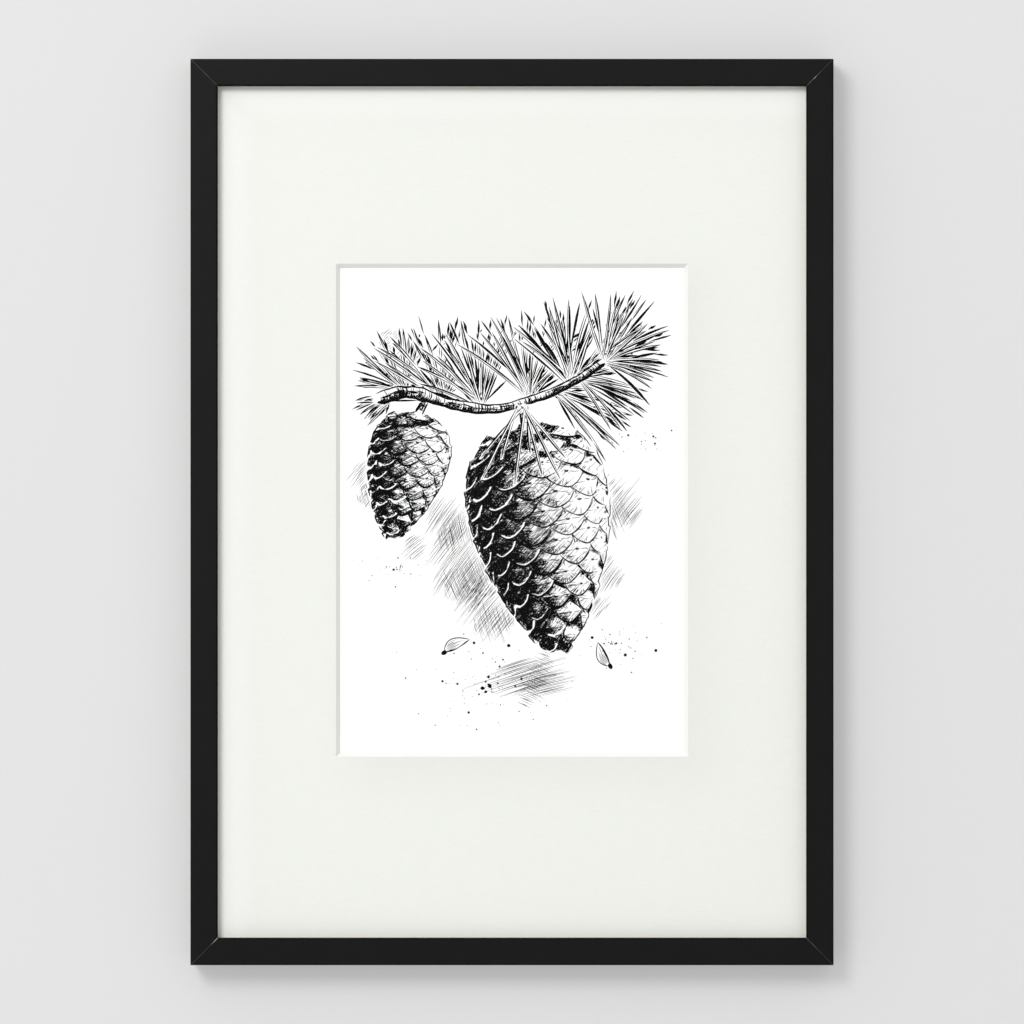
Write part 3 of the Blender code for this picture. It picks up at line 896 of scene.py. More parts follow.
def lay(grid, body, hidden=None):
    """Lays a grid of points into the map. body is the way this side of the cone faces, and
    hidden says from 0 to 1 how deep between the scales a point lies."""
    normal = np.cross(np.gradient(grid, axis=0), np.gradient(grid, axis=1))
    normal /= np.maximum(np.linalg.norm(normal, axis=2, keepdims=True), 1e-9)
    normal = np.where(normal[..., 2:] < 0, -normal, normal)
    form = np.clip(BODY_MIDDLE + BODY_LIT * (body @ LIGHT_FROM), *BODY_LIMITS)
    shade = (ALL_ROUND + DIRECT * np.clip(normal @ LIGHT_FROM, 0, 1)) * form
    if hidden is not None:
        shade = shade * (ROOT_LIT - ROOT_DARKER * np.broadcast_to(hidden, shade.shape))
    rows, columns = cell_of(grid[..., :2])
    order = np.argsort(grid[..., 2].ravel())
    row, column, level = rows.ravel()[order], columns.ravel()[order], grid[..., 2].ravel()[order]
    nearer = level > heights[row, column]
    heights[row[nearer], column[nearer]] = level[nearer]
    tones[row[nearer], column[nearer]] = shade.ravel()[order][nearer]


print("light falls on the drawn cones from (x, z, h):", LIGHT_FROM.round(2))


# %% Laying the core and the scales into the map
CORE_SHARE, CORE_START = 0.84, 0.01
ROOT_INWARD, ROOT_DOWN, ROOT_SIZE = 0.95, 0.45, 0.35
CORE_SAMPLES, FACE_SAMPLES, SIDE_SAMPLES = (420, 700), (181, 42), 40


def lay_core(cone):
    half_turn = np.linspace(-math.pi / 2, math.pi / 2, CORE_SAMPLES[0])
    turns, shares = np.meshgrid(half_turn, np.linspace(CORE_START, LAST_SCALE, CORE_SAMPLES[1]))
    radial = np.sin(turns)[..., None] * cone.right + np.cos(turns)[..., None] * TOWARD_VIEWER
    grid = cone.top + (shares * cone.length)[..., None] * cone.down
    lay(grid + (cone.girth(shares) * CORE_SHARE)[..., None] * radial, TOWARD_VIEWER, np.ones(1))


def lay_scale(cone, scale):
    """The scale's face, then the dark sides that run from its rim in to the core."""
    angles, sizes = np.linspace(0, 2 * math.pi, FACE_SAMPLES[0]), np.linspace(0, 1, FACE_SAMPLES[1])
    face = on_scale(scale, *rim(*np.meshgrid(angles, sizes)))
    lay(face, scale["radial"])
    edge, inward = face[-1], np.linspace(0, 1, SIDE_SAMPLES)[:, None, None]
    root = scale["centre"] - scale["size"] * (scale["radial"] * ROOT_INWARD + cone.down * ROOT_DOWN)
    side = edge * (1 - inward) + (root + (edge - scale["centre"]) * ROOT_SIZE) * inward
    lay(side, scale["radial"], inward[..., 0])


lay_core(trial_cone)
print("map cells under the trial cone's core:", int((heights > NOTHING / 2).sum()))

# %% Laying a whole cone into the map
HOLLOW_REACH, HOLLOW_DEPTH, OUTSIDE_HEIGHT = 9, 6.0, -8.0  # cells, mm and mm
HOLLOW_DARKER, CREST_LIGHTER = 0.85, 0.25


def lay_cone(cone):
    """Lays the whole cone. Returns where it covers the sheet, and its tones with dark hollows."""
    heights[:], tones[:] = NOTHING, 1.0
    lay_core(cone)
    for scale in cone.scales:
        lay_scale(cone, scale)
    covered = heights > NOTHING / 2
    depth = (blur(np.where(covered, heights, OUTSIDE_HEIGHT), HOLLOW_REACH) - heights) / HOLLOW_DEPTH
    shade = tones * (1 - HOLLOW_DARKER * np.clip(depth, 0, 1) + CREST_LIGHTER * np.clip(-depth, 0, 1))
    return covered, blur(np.where(covered, np.clip(shade, 0, 1), 1.0), 1)


print("a cone's core covers square mm:", round(float(lay_cone(trial_cone)[0].sum()) * CELL**2))


# %% [markdown]
# ## Drawing the scales
#
# The pen gives each scale an outline, twice over and a third time where it is dark. Then come a
# keel from side to side, the shaded lip of the boss, fine lines that fan out to the rim, and
# strokes that bow over the scale from its darker side. Where the cone is dark, a thin rim of bare
# paper is kept free along each tip. It is claimed first, and it holds the scales apart when the
# hatching goes over them.

# %% What can be seen of a line
HIDES_FROM = 0.55


def seen_runs(path, shortest=5):
    """The parts of a line on a scale that no nearer scale hides, as lines on the sheet."""
    seen = heights[cell_of(path)] < path[..., 2] + HIDES_FROM
    return [path[start:stop, :2] for start, stop in runs(seen, shortest)]


def tone_under(line, shade):
    return float(np.mean(shade[cell_of(line)]))


held_above = np.array([[x, -30.0, 90.0] for x in range(10)])
print("a line held above the trial cone is seen in pieces:", len(seen_runs(held_above)))


# %% Free rims and outlines
RIM_DARKER_THAN = 0.36
FREE_RIM_AT, FREE_RIM = 0.93, 0.28  # share of the scale, and mm
OUTLINE_LIGHT, OUTLINE_DARKER = 0.24, 0.42
RESTATED_APART, THRICE_ABOVE = 0.22, 0.5
LIT_TIP = np.linspace(0.03, 0.66, 50) * math.pi
FULL_TURN = np.linspace(0, 2 * math.pi, 120)


def keep_rim_free(scale, shade):
    for line in seen_runs(on_scale(scale, *rim(LIT_TIP, FREE_RIM_AT))):
        if tone_under(line, shade) < RIM_DARKER_THAN:
            claim(line, FREE_RIM + FREE_RIM * chance.random())


def draw_outline(layer, scale, shade):
    for line in seen_runs(on_scale(scale, *rim(FULL_TURN))):
        dark = 1 - tone_under(line, shade)
        for repeat in range(3 if dark > THRICE_ABOVE else 2):
            shift = chance.normal(size=2) * RESTATED_APART * repeat
            pen(layer, line + shift, OUTLINE_LIGHT + OUTLINE_DARKER * dark, wobble=0.22, lift=0.25)


print("a rim stays free where the tone is below", RIM_DARKER_THAN)


# %% Keel and boss
KEEL_STARTS, KEEL_STOPS = (0.12, 0.3), (0.6, 0.92)  # shares of the way out to the side
KEEL_BOW, KEEL_UNEVEN, KEEL_LINE = 0.13, 0.02, 0.22
LIP_ACROSS, LIP_ALONG, LIP_DOWN, LIP_LINE = 0.13, 0.11, 0.05, 0.3


def draw_keel_and_boss(layer, scale):
    for side in (-1, 1):
        across = side * np.linspace(chance.uniform(*KEEL_STARTS), chance.uniform(*KEEL_STOPS), 26)
        along = KEEL_BOW * (1 - across**2) + chance.normal() * KEEL_UNEVEN
        for line in seen_runs(on_scale(scale, across, along), 6):
            pen(layer, line, KEEL_LINE, wobble=0.25, lift=0.5)
    for size in (1.0, 0.8, 0.6):
        lip = np.linspace(0.1, 0.9 + 0.25 * chance.random(), 30) * math.pi
        lip_across, lip_along = LIP_ACROSS * size * np.cos(lip), LIP_DOWN + LIP_ALONG * size * np.sin(lip)
        for line in seen_runs(on_scale(scale, lip_across, lip_along), 20):
            pen(layer, line, LIP_LINE, step=0.8, lift=0.3)


trial_keel = on_scale(trial_scale, np.linspace(-0.9, 0.9, 26), np.zeros(26))
print("the trial scale's keel stands mm out of the sheet:", trial_keel[:, 2].max().round(1))

# %% Lines that fan out over a scale
FAN_STEP, FAN_UNEVEN = 0.11, 0.05
FAN_UPWARD = ((0.25, 0.6), (0.8, 1.0))  # where lines start and stop, as shares of the way out
FAN_TO_TIP = ((0.45, 0.8), (0.9, 1.0))
FAN_TONES, FAN_LIGHT, FAN_DARKER = (0.35, 1.05), 0.2, 0.22


def draw_fan(layer, scale, shade):
    """Lines from near the boss out to the rim, shorter toward the tip and denser in the dark."""
    for angle in np.arange(0, 2 * math.pi, FAN_STEP):
        angle = angle + chance.normal() * FAN_UNEVEN
        start, stop = FAN_UPWARD if math.sin(angle) < 0 else FAN_TO_TIP
        reach = np.linspace(chance.uniform(*start), chance.uniform(*stop), 14)
        for line in seen_runs(on_scale(scale, *rim(np.full(14, angle), reach)), 8):
            tone = tone_under(line, shade)
            if tone < chance.uniform(*FAN_TONES):
                pen(layer, line[::-1], FAN_LIGHT + FAN_DARKER * (1 - tone), wobble=0.08, lift=0.6, step=2.5)


print("fan lines tried on each scale:", len(np.arange(0, 2 * math.pi, FAN_STEP)))


# %% Strokes that bow over a scale
BOW_LEVELS = np.arange(-0.9, 0.95, 0.085)
BOW_START, BOW_STARTS_LATER, BOW_STOPS, BOW_RISE = -0.97, 0.8, (-0.35, 0.35), 0.05
BOW_TONES, BOW_LIGHT, BOW_DARKER = (0.3, 0.85), 0.2, 0.25


def draw_bows(layer, scale, shade):
    """Strokes that bow over the scale from its darker side."""
    for level in BOW_LEVELS:
        across = np.linspace(BOW_START + abs(level) * BOW_STARTS_LATER, chance.uniform(*BOW_STOPS), 16)
        across = across[np.abs(across) ** RHOMB_POWER + abs(level) ** RHOMB_POWER < 1.0]
        for line in seen_runs(on_scale(scale, across, level + BOW_RISE * (1 - across**2))):
            tone = tone_under(line, shade)
            if tone < chance.uniform(*BOW_TONES):
                pen(layer, line, BOW_LIGHT + BOW_DARKER * (1 - tone), wobble=0.1, lift=0.6, step=2.5)


print("bowed strokes tried on each scale:", len(BOW_LEVELS))


# %% [markdown]
# ## Shading the whole cone
#
# Three kinds of stroke pull the scales together into one round body: strokes that run round it,
# its two outer edges, and nearly straight hatching laid over everything in layers. Each layer
# starts at a darker tone than the last and lies at another angle, which is how a pen makes greys.

# %% Strokes round the body
ROUND_PLACES, ROUND_UNEVEN = (0.02, 0.99), 0.3  # shares of the length, and of the spacing
ROUND_SAG, SAG_LESS_BELOW, SCALES_STAND_OUT = 0.16, 1.3, 1.06
ROUND_TONE_UNEVEN, ROUND_SHIFT = 0.08, 0.15


def draw_round_strokes(layer, cone, covered, shade, spacing, threshold, width):
    """Strokes round the cone's body wherever it is darker than a threshold."""
    turns = np.linspace(-1.5, 1.5, 240)
    for share in np.arange(*ROUND_PLACES, spacing / cone.length):
        share = share + chance.normal() * ROUND_UNEVEN * spacing / cone.length
        girth = cone.girth(share)
        fall = share * cone.length + ROUND_SAG * girth * np.cos(turns) * (1 - SAG_LESS_BELOW * share)
        sideways = np.sin(turns) * girth * SCALES_STAND_OUT
        path = (cone.top + fall[:, None] * cone.down + sideways[:, None] * cone.right)[:, :2]
        dark = shade[cell_of(path)] + ROUND_TONE_UNEVEN * drift(len(path), 6) < threshold
        for start, stop in runs(dark & covered[cell_of(path)]):
            shift = chance.normal(size=2) * ROUND_SHIFT
            uneven_width = width * chance.uniform(0.7, 1.3)
            pen(layer, path[start:stop] + shift, uneven_width, wobble=0.15, lift=0.5, step=3.0)


print("rows round the trial cone, 1 mm apart:", len(np.arange(*ROUND_PLACES, 1 / trial_cone.length)))


# %% The cone's outer edges
DARK_EDGE, LIT_EDGE = 0.5, 0.34
STEPS_OUT = 1.2


def draw_edges(layer, covered):
    """The cone's outer edges, broken where one scale's tip steps out past the next."""
    rows = np.flatnonzero(covered.any(axis=1))[::2]
    left = covered[rows].argmax(axis=1)
    right = COLUMNS - 1 - covered[rows][:, ::-1].argmax(axis=1)
    for columns, width in ((left, DARK_EDGE), (right, LIT_EDGE)):
        edge = np.stack([(columns + 0.5) * CELL - SHEET_WIDTH / 2, (rows + 0.5) * CELL - SHEET_HEIGHT / 2], 1)
        steady = np.r_[True, np.abs(np.diff(edge[:, 0])) < STEPS_OUT]
        for start, stop in runs(steady):
            pen(layer, edge[start:stop] + chance.normal(size=2) * 0.1, width, wobble=0.15, lift=0.3, step=1.5)


print("map rows that the trial cone covers:", int((heights > NOTHING / 2).any(axis=1).sum()))


# %% Hatching
HATCH_LAYERS = (  # angle, spacing, tone it starts at, width, shortest and longest stroke
    (38, 0.80, 0.90, 0.12, (5, 18)),
    (42, 0.80, 0.66, 0.19, (5, 15)),
    (36, 0.75, 0.48, 0.25, (4, 14)),
    (-30, 0.85, 0.34, 0.28, (4, 12)),
    (68, 0.75, 0.24, 0.34, (3, 10)),
    (50, 0.60, 0.15, 0.42, (3, 10)),
)
print("hatching starts where the tone is below:", [tone for _, _, tone, _, _ in HATCH_LAYERS])


# %% One row of hatching
SHORTEST_HATCH, OVERLAP = 4, (-2, 4)  # in steps of the path
HATCH_SHIFT, LIGHT_PRESS, MORE_PRESS = 0.25, 0.8, 0.9


def hatch_row(layer, path, across, dark_by, width, lengths):
    """One row of hatching: strokes end to end wherever dark_by is above nought."""
    for start, stop in runs(dark_by > 0):
        while start < stop:
            end = min(start + int(chance.uniform(*lengths) / PATH_STEP), stop)
            if end - start > SHORTEST_HATCH:
                depth = dark_by[(start + end) // 2]
                shift = across * chance.normal() * HATCH_SHIFT
                uneven_width = width * (LIGHT_PRESS + MORE_PRESS * depth) * chance.uniform(0.8, 1.2)
                pen(layer, path[start:end] + shift, uneven_width, step=3.0)
            start = max(start + 1, end - int(chance.uniform(*OVERLAP))) if end < stop else stop


print("a hatching stroke is longer than mm:", SHORTEST_HATCH * PATH_STEP)


# %% A layer of hatching
HATCH_BOW, BOWS_ALONG, BOWS_ACROSS = 3.0, 60.0, 90.0  # mm
ROW_UNEVEN, ROW_LEAN = 0.3, 0.015  # of the spacing, and of the way along
HATCH_TONE_UNEVEN = 0.10


def directions(angle):
    """The direction at an angle on the sheet, and the one square to it, on its left."""
    ahead = np.array([math.cos(angle), math.sin(angle)])
    return ahead, np.array([-ahead[1], ahead[0]])


def hatch(layer, covered, shade, angle, spacing, threshold, width, lengths):
    """Parallel, slightly bowed rows over the covered part of the sheet."""
    ahead, across = directions(angle)
    reach = math.hypot(SHEET_WIDTH, SHEET_HEIGHT) / 2
    far = np.arange(-reach, reach, PATH_STEP)
    for offset in np.arange(-reach, reach, spacing):
        offset += chance.normal() * spacing * ROW_UNEVEN
        bow = HATCH_BOW * np.cos(far / BOWS_ALONG + offset / BOWS_ACROSS) + chance.normal() * ROW_LEAN * far
        path = far[:, None] * ahead + (offset + bow)[:, None] * across
        path = path[on_sheet(path, 1.0)]
        if len(path) and covered[cell_of(path)].any():
            cells = cell_of(path)
            dark_by = threshold - shade[cells] - HATCH_TONE_UNEVEN * drift(len(path), 8)
            hatch_row(layer, path, across, np.where(covered[cells], dark_by, -1.0), width, lengths)


print("a row bows by mm:", HATCH_BOW)


# %% One whole cone
ROUND_LAYERS = ((0.8, 0.52, 0.20), (0.9, 0.36, 0.24))  # spacing, tone it starts at, width
HALO_REACH, HALO_FROM = 2, 0.15


def draw_cone(layer, cone, fineness=1.0):
    """Draws a cone and claims its place, with a thin halo round it that stays free."""
    covered, shade = lay_cone(cone)
    for scale in cone.scales:
        keep_rim_free(scale, shade)
    for scale in cone.scales:
        draw_outline(layer, scale, shade)
        draw_keel_and_boss(layer, scale)
        draw_fan(layer, scale, shade)
        draw_bows(layer, scale, shade)
    draw_edges(layer, covered)
    for spacing, threshold, width in ROUND_LAYERS:
        draw_round_strokes(layer, cone, covered, shade, spacing * fineness, threshold, width)
    for degrees, spacing, threshold, width, lengths in HATCH_LAYERS:
        angle = math.radians(degrees) + cone.turn
        hatch(layer, covered, shade, angle, spacing * fineness, threshold, width, lengths)
    taken[blur(covered.astype(float), HALO_REACH) > HALO_FROM] = True


print("layers of hatching on each cone:", len(HATCH_LAYERS))


# %% [markdown]
# ## Twig and needles
#
# The twig is drawn like the cones, only simpler: two edges, short strokes that bow half round it,
# and broken lines of bark along it. A needle in front is two fine lines that meet at its tip, and
# one behind is a single dark stroke. Each claims its own place, so the fan thickens inward by
# itself, the way a real tuft does.

# %% A curve through a few points
def curve(points, count=200):
    """A smooth line through points, by the Catmull-Rom rule."""
    points = np.asarray(points, float)
    padded = np.vstack([2 * points[0] - points[1], points, 2 * points[-1] - points[-2]])
    u = np.linspace(0, 1, max(2, count // (len(points) - 1)), endpoint=False)[:, None]
    line = []
    for a, b, c, d in zip(padded, padded[1:], padded[2:], padded[3:]):
        square, cube = 2 * a - 5 * b + 4 * c - d, 3 * b - a - 3 * c + d
        line.append(0.5 * (2 * b + (c - a) * u + square * u**2 + cube * u**3))
    return np.vstack([*line, points[-1]])


print("a curve through 3 points has points:", len(curve(((0, 0), (5, 3), (10, 0)))))


# %% The twig
TWIG_STEP, TWIG_UNEVEN, TWIG_MARGIN = 0.6, 0.08, 0.2
LIT_WIDTH, SHADED_WIDTH, EDGE_APART = 0.40, 0.75, 0.2


def draw_twig(layer, points, start_radius, end_radius):
    spine = resample(curve(points), TWIG_STEP)
    count = len(spine)
    radius = np.linspace(start_radius, end_radius, count) * (1 + TWIG_UNEVEN * drift(count, 6))
    ahead = np.gradient(spine, axis=0)
    ahead /= np.linalg.norm(ahead, axis=1, keepdims=True)
    side = np.stack([-ahead[:, 1], ahead[:, 0]], 1)
    for repeat in range(2):
        to_edge = side * (radius + EDGE_APART * repeat)[:, None]
        pen(layer, spine + to_edge, LIT_WIDTH, wobble=0.3, lift=0.05)
        pen(layer, spine - to_edge, SHADED_WIDTH, wobble=0.3, lift=0.05)
    draw_bark(layer, spine, ahead, side, radius)
    for at, out, r in zip(spine[::2], side[::2], radius[::2]):
        claim(np.stack([at - out * r * 0.5, at + out * r * 0.5]), r * 0.6 + TWIG_MARGIN)


print("steps along a twig, mm:", TWIG_STEP)


# %% Bark
BARK_START, BARK_STOP, BARK_APART = 2.0, 3.0, (0.3, 0.75)  # mm
ROUND_THE_TWIG, ONLY_HALF_ROUND = 0.35, 0.75
ONE_BARK_LINE_PER, BARK_LINE_STEPS = 1.6, (6, 15)
BARK_WIDTHS, BARK_LINE_WIDTHS = (0.24, 0.5), (0.25, 0.5)


def draw_bark(layer, spine, ahead, side, radius):
    """Strokes that bow up from the shaded edge, then broken lines along the twig."""
    count = len(spine)
    at = BARK_START
    while at < count * TWIG_STEP - BARK_STOP:
        i = int(at / TWIG_STEP)
        share = np.linspace(-1, chance.uniform(-0.5, 0.5) if chance.random() < ONLY_HALF_ROUND else 1, 9)
        bow = ahead[i] * ((1 - share**2) * radius[i] * ROUND_THE_TWIG)[:, None]
        line = spine[i] + side[i] * (share * radius[i])[:, None] + bow
        pen(layer, line, chance.uniform(*BARK_WIDTHS), wobble=0.1, lift=0.5, step=1.5)
        at += chance.uniform(*BARK_APART)
    for _ in range(int(count * TWIG_STEP / ONE_BARK_LINE_PER)):
        i, length = int(chance.uniform(0, count - 16)), int(chance.uniform(*BARK_LINE_STEPS))
        part = slice(i, i + length)
        line = spine[part] + side[part] * (chance.uniform(-0.9, 0.35) * radius[part])[:, None]
        pen(layer, line, chance.uniform(*BARK_LINE_WIDTHS), wobble=0.2, lift=0.5, step=1.5)


print("bark leaves free, mm at the twig's two ends:", BARK_START, BARK_STOP)


# %% A needle's middle line
NEEDLE_POINTS = 30
SHORTEST_GLIMPSE = 9


def needle_line(root, angle, length, droop):
    """The middle of a needle and its sideways direction. It is shortened to stay on the sheet."""
    share = np.linspace(0, 1, NEEDLE_POINTS)
    heading = angle + droop * share
    ahead = np.stack([np.cos(heading), np.sin(heading)], 1)
    while True:
        middle = np.array(root) + np.cumsum(ahead, axis=0) * length / NEEDLE_POINTS
        if on_sheet(middle[-1]) or length < 5:
            return middle, np.stack([-ahead[:, 1], ahead[:, 0]], 1)
        length *= chance.uniform(0.85, 0.97)


print("points in a needle's middle line:", NEEDLE_POINTS)


# %% One needle
TIP_TAPER, TIP_POWER = 3.2, 0.8
ROOT_WIDTH, ROOT_WIDENS = 0.75, 6
LIT_SIDE, SHADED_SIDE, SHADED_INSIDE = 0.26, 0.46, 0.3
SHADED_OFTEN, SHADED_AT = 0.6, 0.35
BEHIND_SHARE, NEEDLE_MARGIN = 0.7, 0.12


def draw_needle(layer, root, angle, length, width, droop, in_front):
    middle, side = needle_line(root, angle, length, droop)
    share = np.linspace(0, 1, NEEDLE_POINTS)
    taper = np.minimum(1, TIP_TAPER * (1 - share) ** TIP_POWER)
    half = width / 2 * taper * (ROOT_WIDTH + (1 - ROOT_WIDTH) * np.minimum(1, share * ROOT_WIDENS))
    if in_front:
        pen(layer, middle + side * half[:, None], LIT_SIDE, wobble=0.06, lift=0.3, step=4.0)
        pen(layer, middle - side * half[:, None], SHADED_SIDE, wobble=0.06, lift=0.3, step=4.0)
        start, stop = sorted(chance.integers(0, 25, 2))
        if stop - start > 4 and chance.random() < SHADED_OFTEN:
            shaded = (middle - side * (half * SHADED_AT)[:, None])[start:stop]
            pen(layer, shaded, SHADED_INSIDE, wobble=0.05, lift=0.5, step=4.0)
    else:
        glimpse = width * BEHIND_SHARE
        pen(layer, middle, glimpse, wobble=0.1, lift=0.45, step=4.0, shortest=SHORTEST_GLIMPSE)
    claim(middle, width / 2 + NEEDLE_MARGIN)


print("a needle behind shows only from points:", SHORTEST_GLIMPSE)


# %% A tuft
NEEDLE_REACH, NEEDLE_WIDTH = (0.72, 1.08), 1.1
DROOP, DROOP_UNEVEN, BUD_SIZE = 0.20, 0.12, 1.1


def draw_tuft(layer, root, heading, fan_angle, count, length):
    """A fan of needles from one bud: the front half first, then those behind it."""
    for k in range(count):
        angle = math.radians(heading + fan_angle * (chance.random() + chance.random() - 1))
        droop = chance.normal() * DROOP_UNEVEN - DROOP * math.cos(angle)
        start = np.array(root) + chance.normal(size=2) * BUD_SIZE
        reach, thickness = length * chance.uniform(*NEEDLE_REACH), NEEDLE_WIDTH * chance.uniform(0.8, 1.15)
        draw_needle(layer, start, angle, reach, thickness, droop, in_front=k < count / 2)


print("a needle's length, as shares of its tuft's:", NEEDLE_REACH)


# %% [markdown]
# ## Loose marks
#
# Free parallel strokes beside the cones set them off from the paper, two winged seeds have
# fallen, and a flick of the pen has left drops of ink: many fine ones and a few large.

# %% Shadow strokes
SHADOW_WIDTH, SHADOW_REACH, SHADOW_BOW = 0.17, (0.6, 1.0), (0.6, 1.6)
SHADOW_APART_UNEVEN, SHADOW_SLIP = 0.25, 0.10  # mm, and share of the length


def draw_shadow(layer, centre, heading, breadth, count, length):
    """A patch of free, slightly bowed parallel strokes."""
    ahead, across = directions(math.radians(heading))
    half_way = np.linspace(-0.5, 0.5, 12)[:, None]
    for place_share in np.linspace(-1, 1, count):
        offset = place_share * breadth / 2 + chance.normal() * SHADOW_APART_UNEVEN
        middle = np.array(centre) + across * offset + ahead * chance.normal() * length * SHADOW_SLIP
        reach = length * chance.uniform(*SHADOW_REACH) * (1 - 0.5 * place_share**2)
        bow = chance.uniform(*SHADOW_BOW) * (0.25 - half_way**2)
        line = middle + ahead * half_way * reach + across * bow
        pen(layer, line, SHADOW_WIDTH * chance.uniform(0.7, 1.2), lift=0.6, step=4.0)


print("the usual shadow stroke comes out mm wide:", round(NIB * SHADOW_WIDTH, 2))


# %% A seed
WING_ABOVE, WING_BELOW, VEINS = 0.30, 0.07, 6
KERNEL_LONG, KERNEL_WIDE = 0.10, 0.055
UPPER_LINE, LOWER_LINE, VEIN_LINE, KERNEL_LINE = 0.34, 0.50, 0.2, 0.45


def draw_seed(layer, at, heading, size):
    """A dark kernel with a thin veined wing."""
    ahead, across = directions(math.radians(heading))
    u = np.linspace(0, 1, 30)[:, None]
    root = np.array(at, float)
    spine = root + ahead * u * size
    upper = spine + across * WING_ABOVE * size * np.sin(math.pi * u**0.8)
    lower = spine - across * WING_BELOW * size * np.sin(math.pi * u)
    pen(layer, upper, UPPER_LINE, wobble=0.1, lift=0.2)
    pen(layer, lower, LOWER_LINE, wobble=0.1, lift=0.2)
    for share in np.linspace(0.1, 0.8, VEINS):
        part = slice(int(chance.uniform(2, 6)), int(chance.uniform(14, 27)))
        pen(layer, (lower * (1 - share) + upper * share)[part], VEIN_LINE, wobble=0.05, lift=0.5)
    turn = np.linspace(0, 2 * math.pi, 24)[:, None]
    for shrink in (1.0, 0.75, 0.5, 0.25):
        kernel = ahead * KERNEL_LONG * np.cos(turn) + across * KERNEL_WIDE * np.sin(turn)
        pen(layer, root + kernel * size * shrink, KERNEL_LINE, wobble=0.03, lift=0.1, step=0.8)


print("a seed's wing is as wide as this share of its length:", WING_ABOVE + WING_BELOW)


# %% Drops
DROP_RADIUS, DROP_UNEVEN, FLATTER_FIELD = 0.16, 0.75, 0.6


def spatter(layer, centre, reach, count, largest):
    """Drops of ink, thinner away from the centre."""
    for _ in range(count):
        away, turn = abs(chance.normal()) * reach, chance.uniform(0, 2 * math.pi)
        at = np.array(centre) + away * np.array([math.cos(turn), FLATTER_FIELD * math.sin(turn)])
        radius = min(largest, DROP_RADIUS * math.exp(abs(chance.normal()) * DROP_UNEVEN))
        if on_sheet(at):
            drops.setdefault(layer, []).append((at, radius))


print("the usual drop is mm in radius:", DROP_RADIUS)


# %% [markdown]
# ## Composing the drawing
#
# Everything is placed here, from front to back: the few needles that hang before the large cone,
# the twig, each stalk with its cone, the tufts behind, and at last the loose marks.

# %% The twig and the two cones
TWIG = ((-80, 66), (-60, 70), (-36, 63), (-10, 60), (16, 67), (38, 77), (54, 88))
HANGING_NEEDLES = ((-62, 50), (-75, 44), (-98, 48), (-118, 50), (-48, 42), (-132, 42), (-108, 34), (-86, 30))
LARGE_STALK, SMALL_STALK = ((6, 64), (7, 57), (9, 50)), ((-50, 66), (-53, 61), (-55, 57))

for heading, length in HANGING_NEEDLES:
    angle = math.radians(heading)
    draw_needle("needles", (6 + chance.normal() * 2, 63), angle, length, 1.2, -0.1 * math.cos(angle), True)
draw_twig("twig", TWIG, 3.2, 1.5)
draw_twig("twig", LARGE_STALK, 2.0, 3.0)
large_cone = grow_cone(LARGE_STALK[-1], math.radians(8), length=136, radius=39, count=130)
draw_cone("large_cone", large_cone)
draw_twig("twig", SMALL_STALK, 1.5, 2.0)
small_cone = grow_cone(SMALL_STALK[-1], math.radians(-13), length=76, radius=22, count=92)
draw_cone("small_cone", small_cone, fineness=0.9)
print("cone strokes:", len(strokes["large_cone"]), len(strokes["small_cone"]))

# %% Where the tufts go
TUFTS = (  # bud, heading, angle of the fan, count, length
    ((54, 88), 42, 80, 54, 42),
    ((38, 78), 5, 75, 40, 46),
    ((34, 76), 100, 60, 34, 46),
    ((10, 66), 85, 70, 40, 50),
    ((-18, 61), 105, 65, 36, 50),
    ((-40, 65), 108, 75, 40, 48),
    ((-62, 70), 132, 80, 34, 38),
    ((-70, 68), 205, 60, 16, 22),
    ((24, 71), -25, 45, 20, 50),
)
print("tufts:", len(TUFTS), "with needles:", sum(tuft[3] for tuft in TUFTS))

# %% Where the loose marks go
SHADOWS = (  # centre, heading, breadth, count, length
    ((-26, -32), 52, 46, 56, 34),
    ((-16, -58), 50, 36, 42, 30),
    ((-30, -44), 58, 30, 30, 26),
    ((-38, -6), 56, 24, 30, 26),
    ((-24, -40), 112, 34, 34, 22),
    ((-32, -14), 104, 22, 24, 20),
    ((-10, -66), 108, 24, 26, 18),
    ((62, 4), 52, 30, 38, 28),
    ((60, -4), 110, 18, 20, 20),
    ((-82, 16), 50, 28, 34, 22),
    ((-84, 8), 108, 14, 16, 14),
    ((54, -36), 56, 24, 28, 24),
    ((46, -54), 52, 20, 22, 20),
    ((6, -98), 18, 18, 30, 46),
    ((20, -103), 14, 12, 20, 36),
    ((14, -100), -24, 34, 34, 14),
    ((-58, -22), 40, 12, 16, 16),
    ((-66, 96), 48, 26, 24, 18),
    ((66, 108), 50, 22, 20, 16),
)
SPATTERS = (  # centre, reach, count, largest drop
    ((-14, -104), 24, 130, 1.3),
    ((60, -78), 16, 70, 1.0),
    ((-66, -34), 12, 40, 0.8),
    ((78, 40), 8, 24, 0.7),
)
print("shadow patches and splashes:", len(SHADOWS), len(SPATTERS))

# %% Drawing the tufts and the loose marks
for tuft in TUFTS:
    draw_tuft("needles", *tuft)
for patch in SHADOWS:
    draw_shadow("shadow_strokes", *patch)
draw_seed("seeds", (-40, -84), 28, 17)
draw_seed("seeds", (58, -92), 118, 16)
for splash in SPATTERS:
    spatter("drops", *splash)
print("strokes:", {layer: len(lines) for layer, lines in strokes.items()})
print("drops:", len(drops["drops"]))

# %% [markdown]
# ## From strokes to ridges of ink
#
# A stroke's ridge has a triangle as its section: two feet just inside the paper and a crest just
# above it. Every stroke of one layer goes into one mesh, because there are some thirteen thousand
# of them, and an object for each would be far too many. Drops are low domes, made the same way.

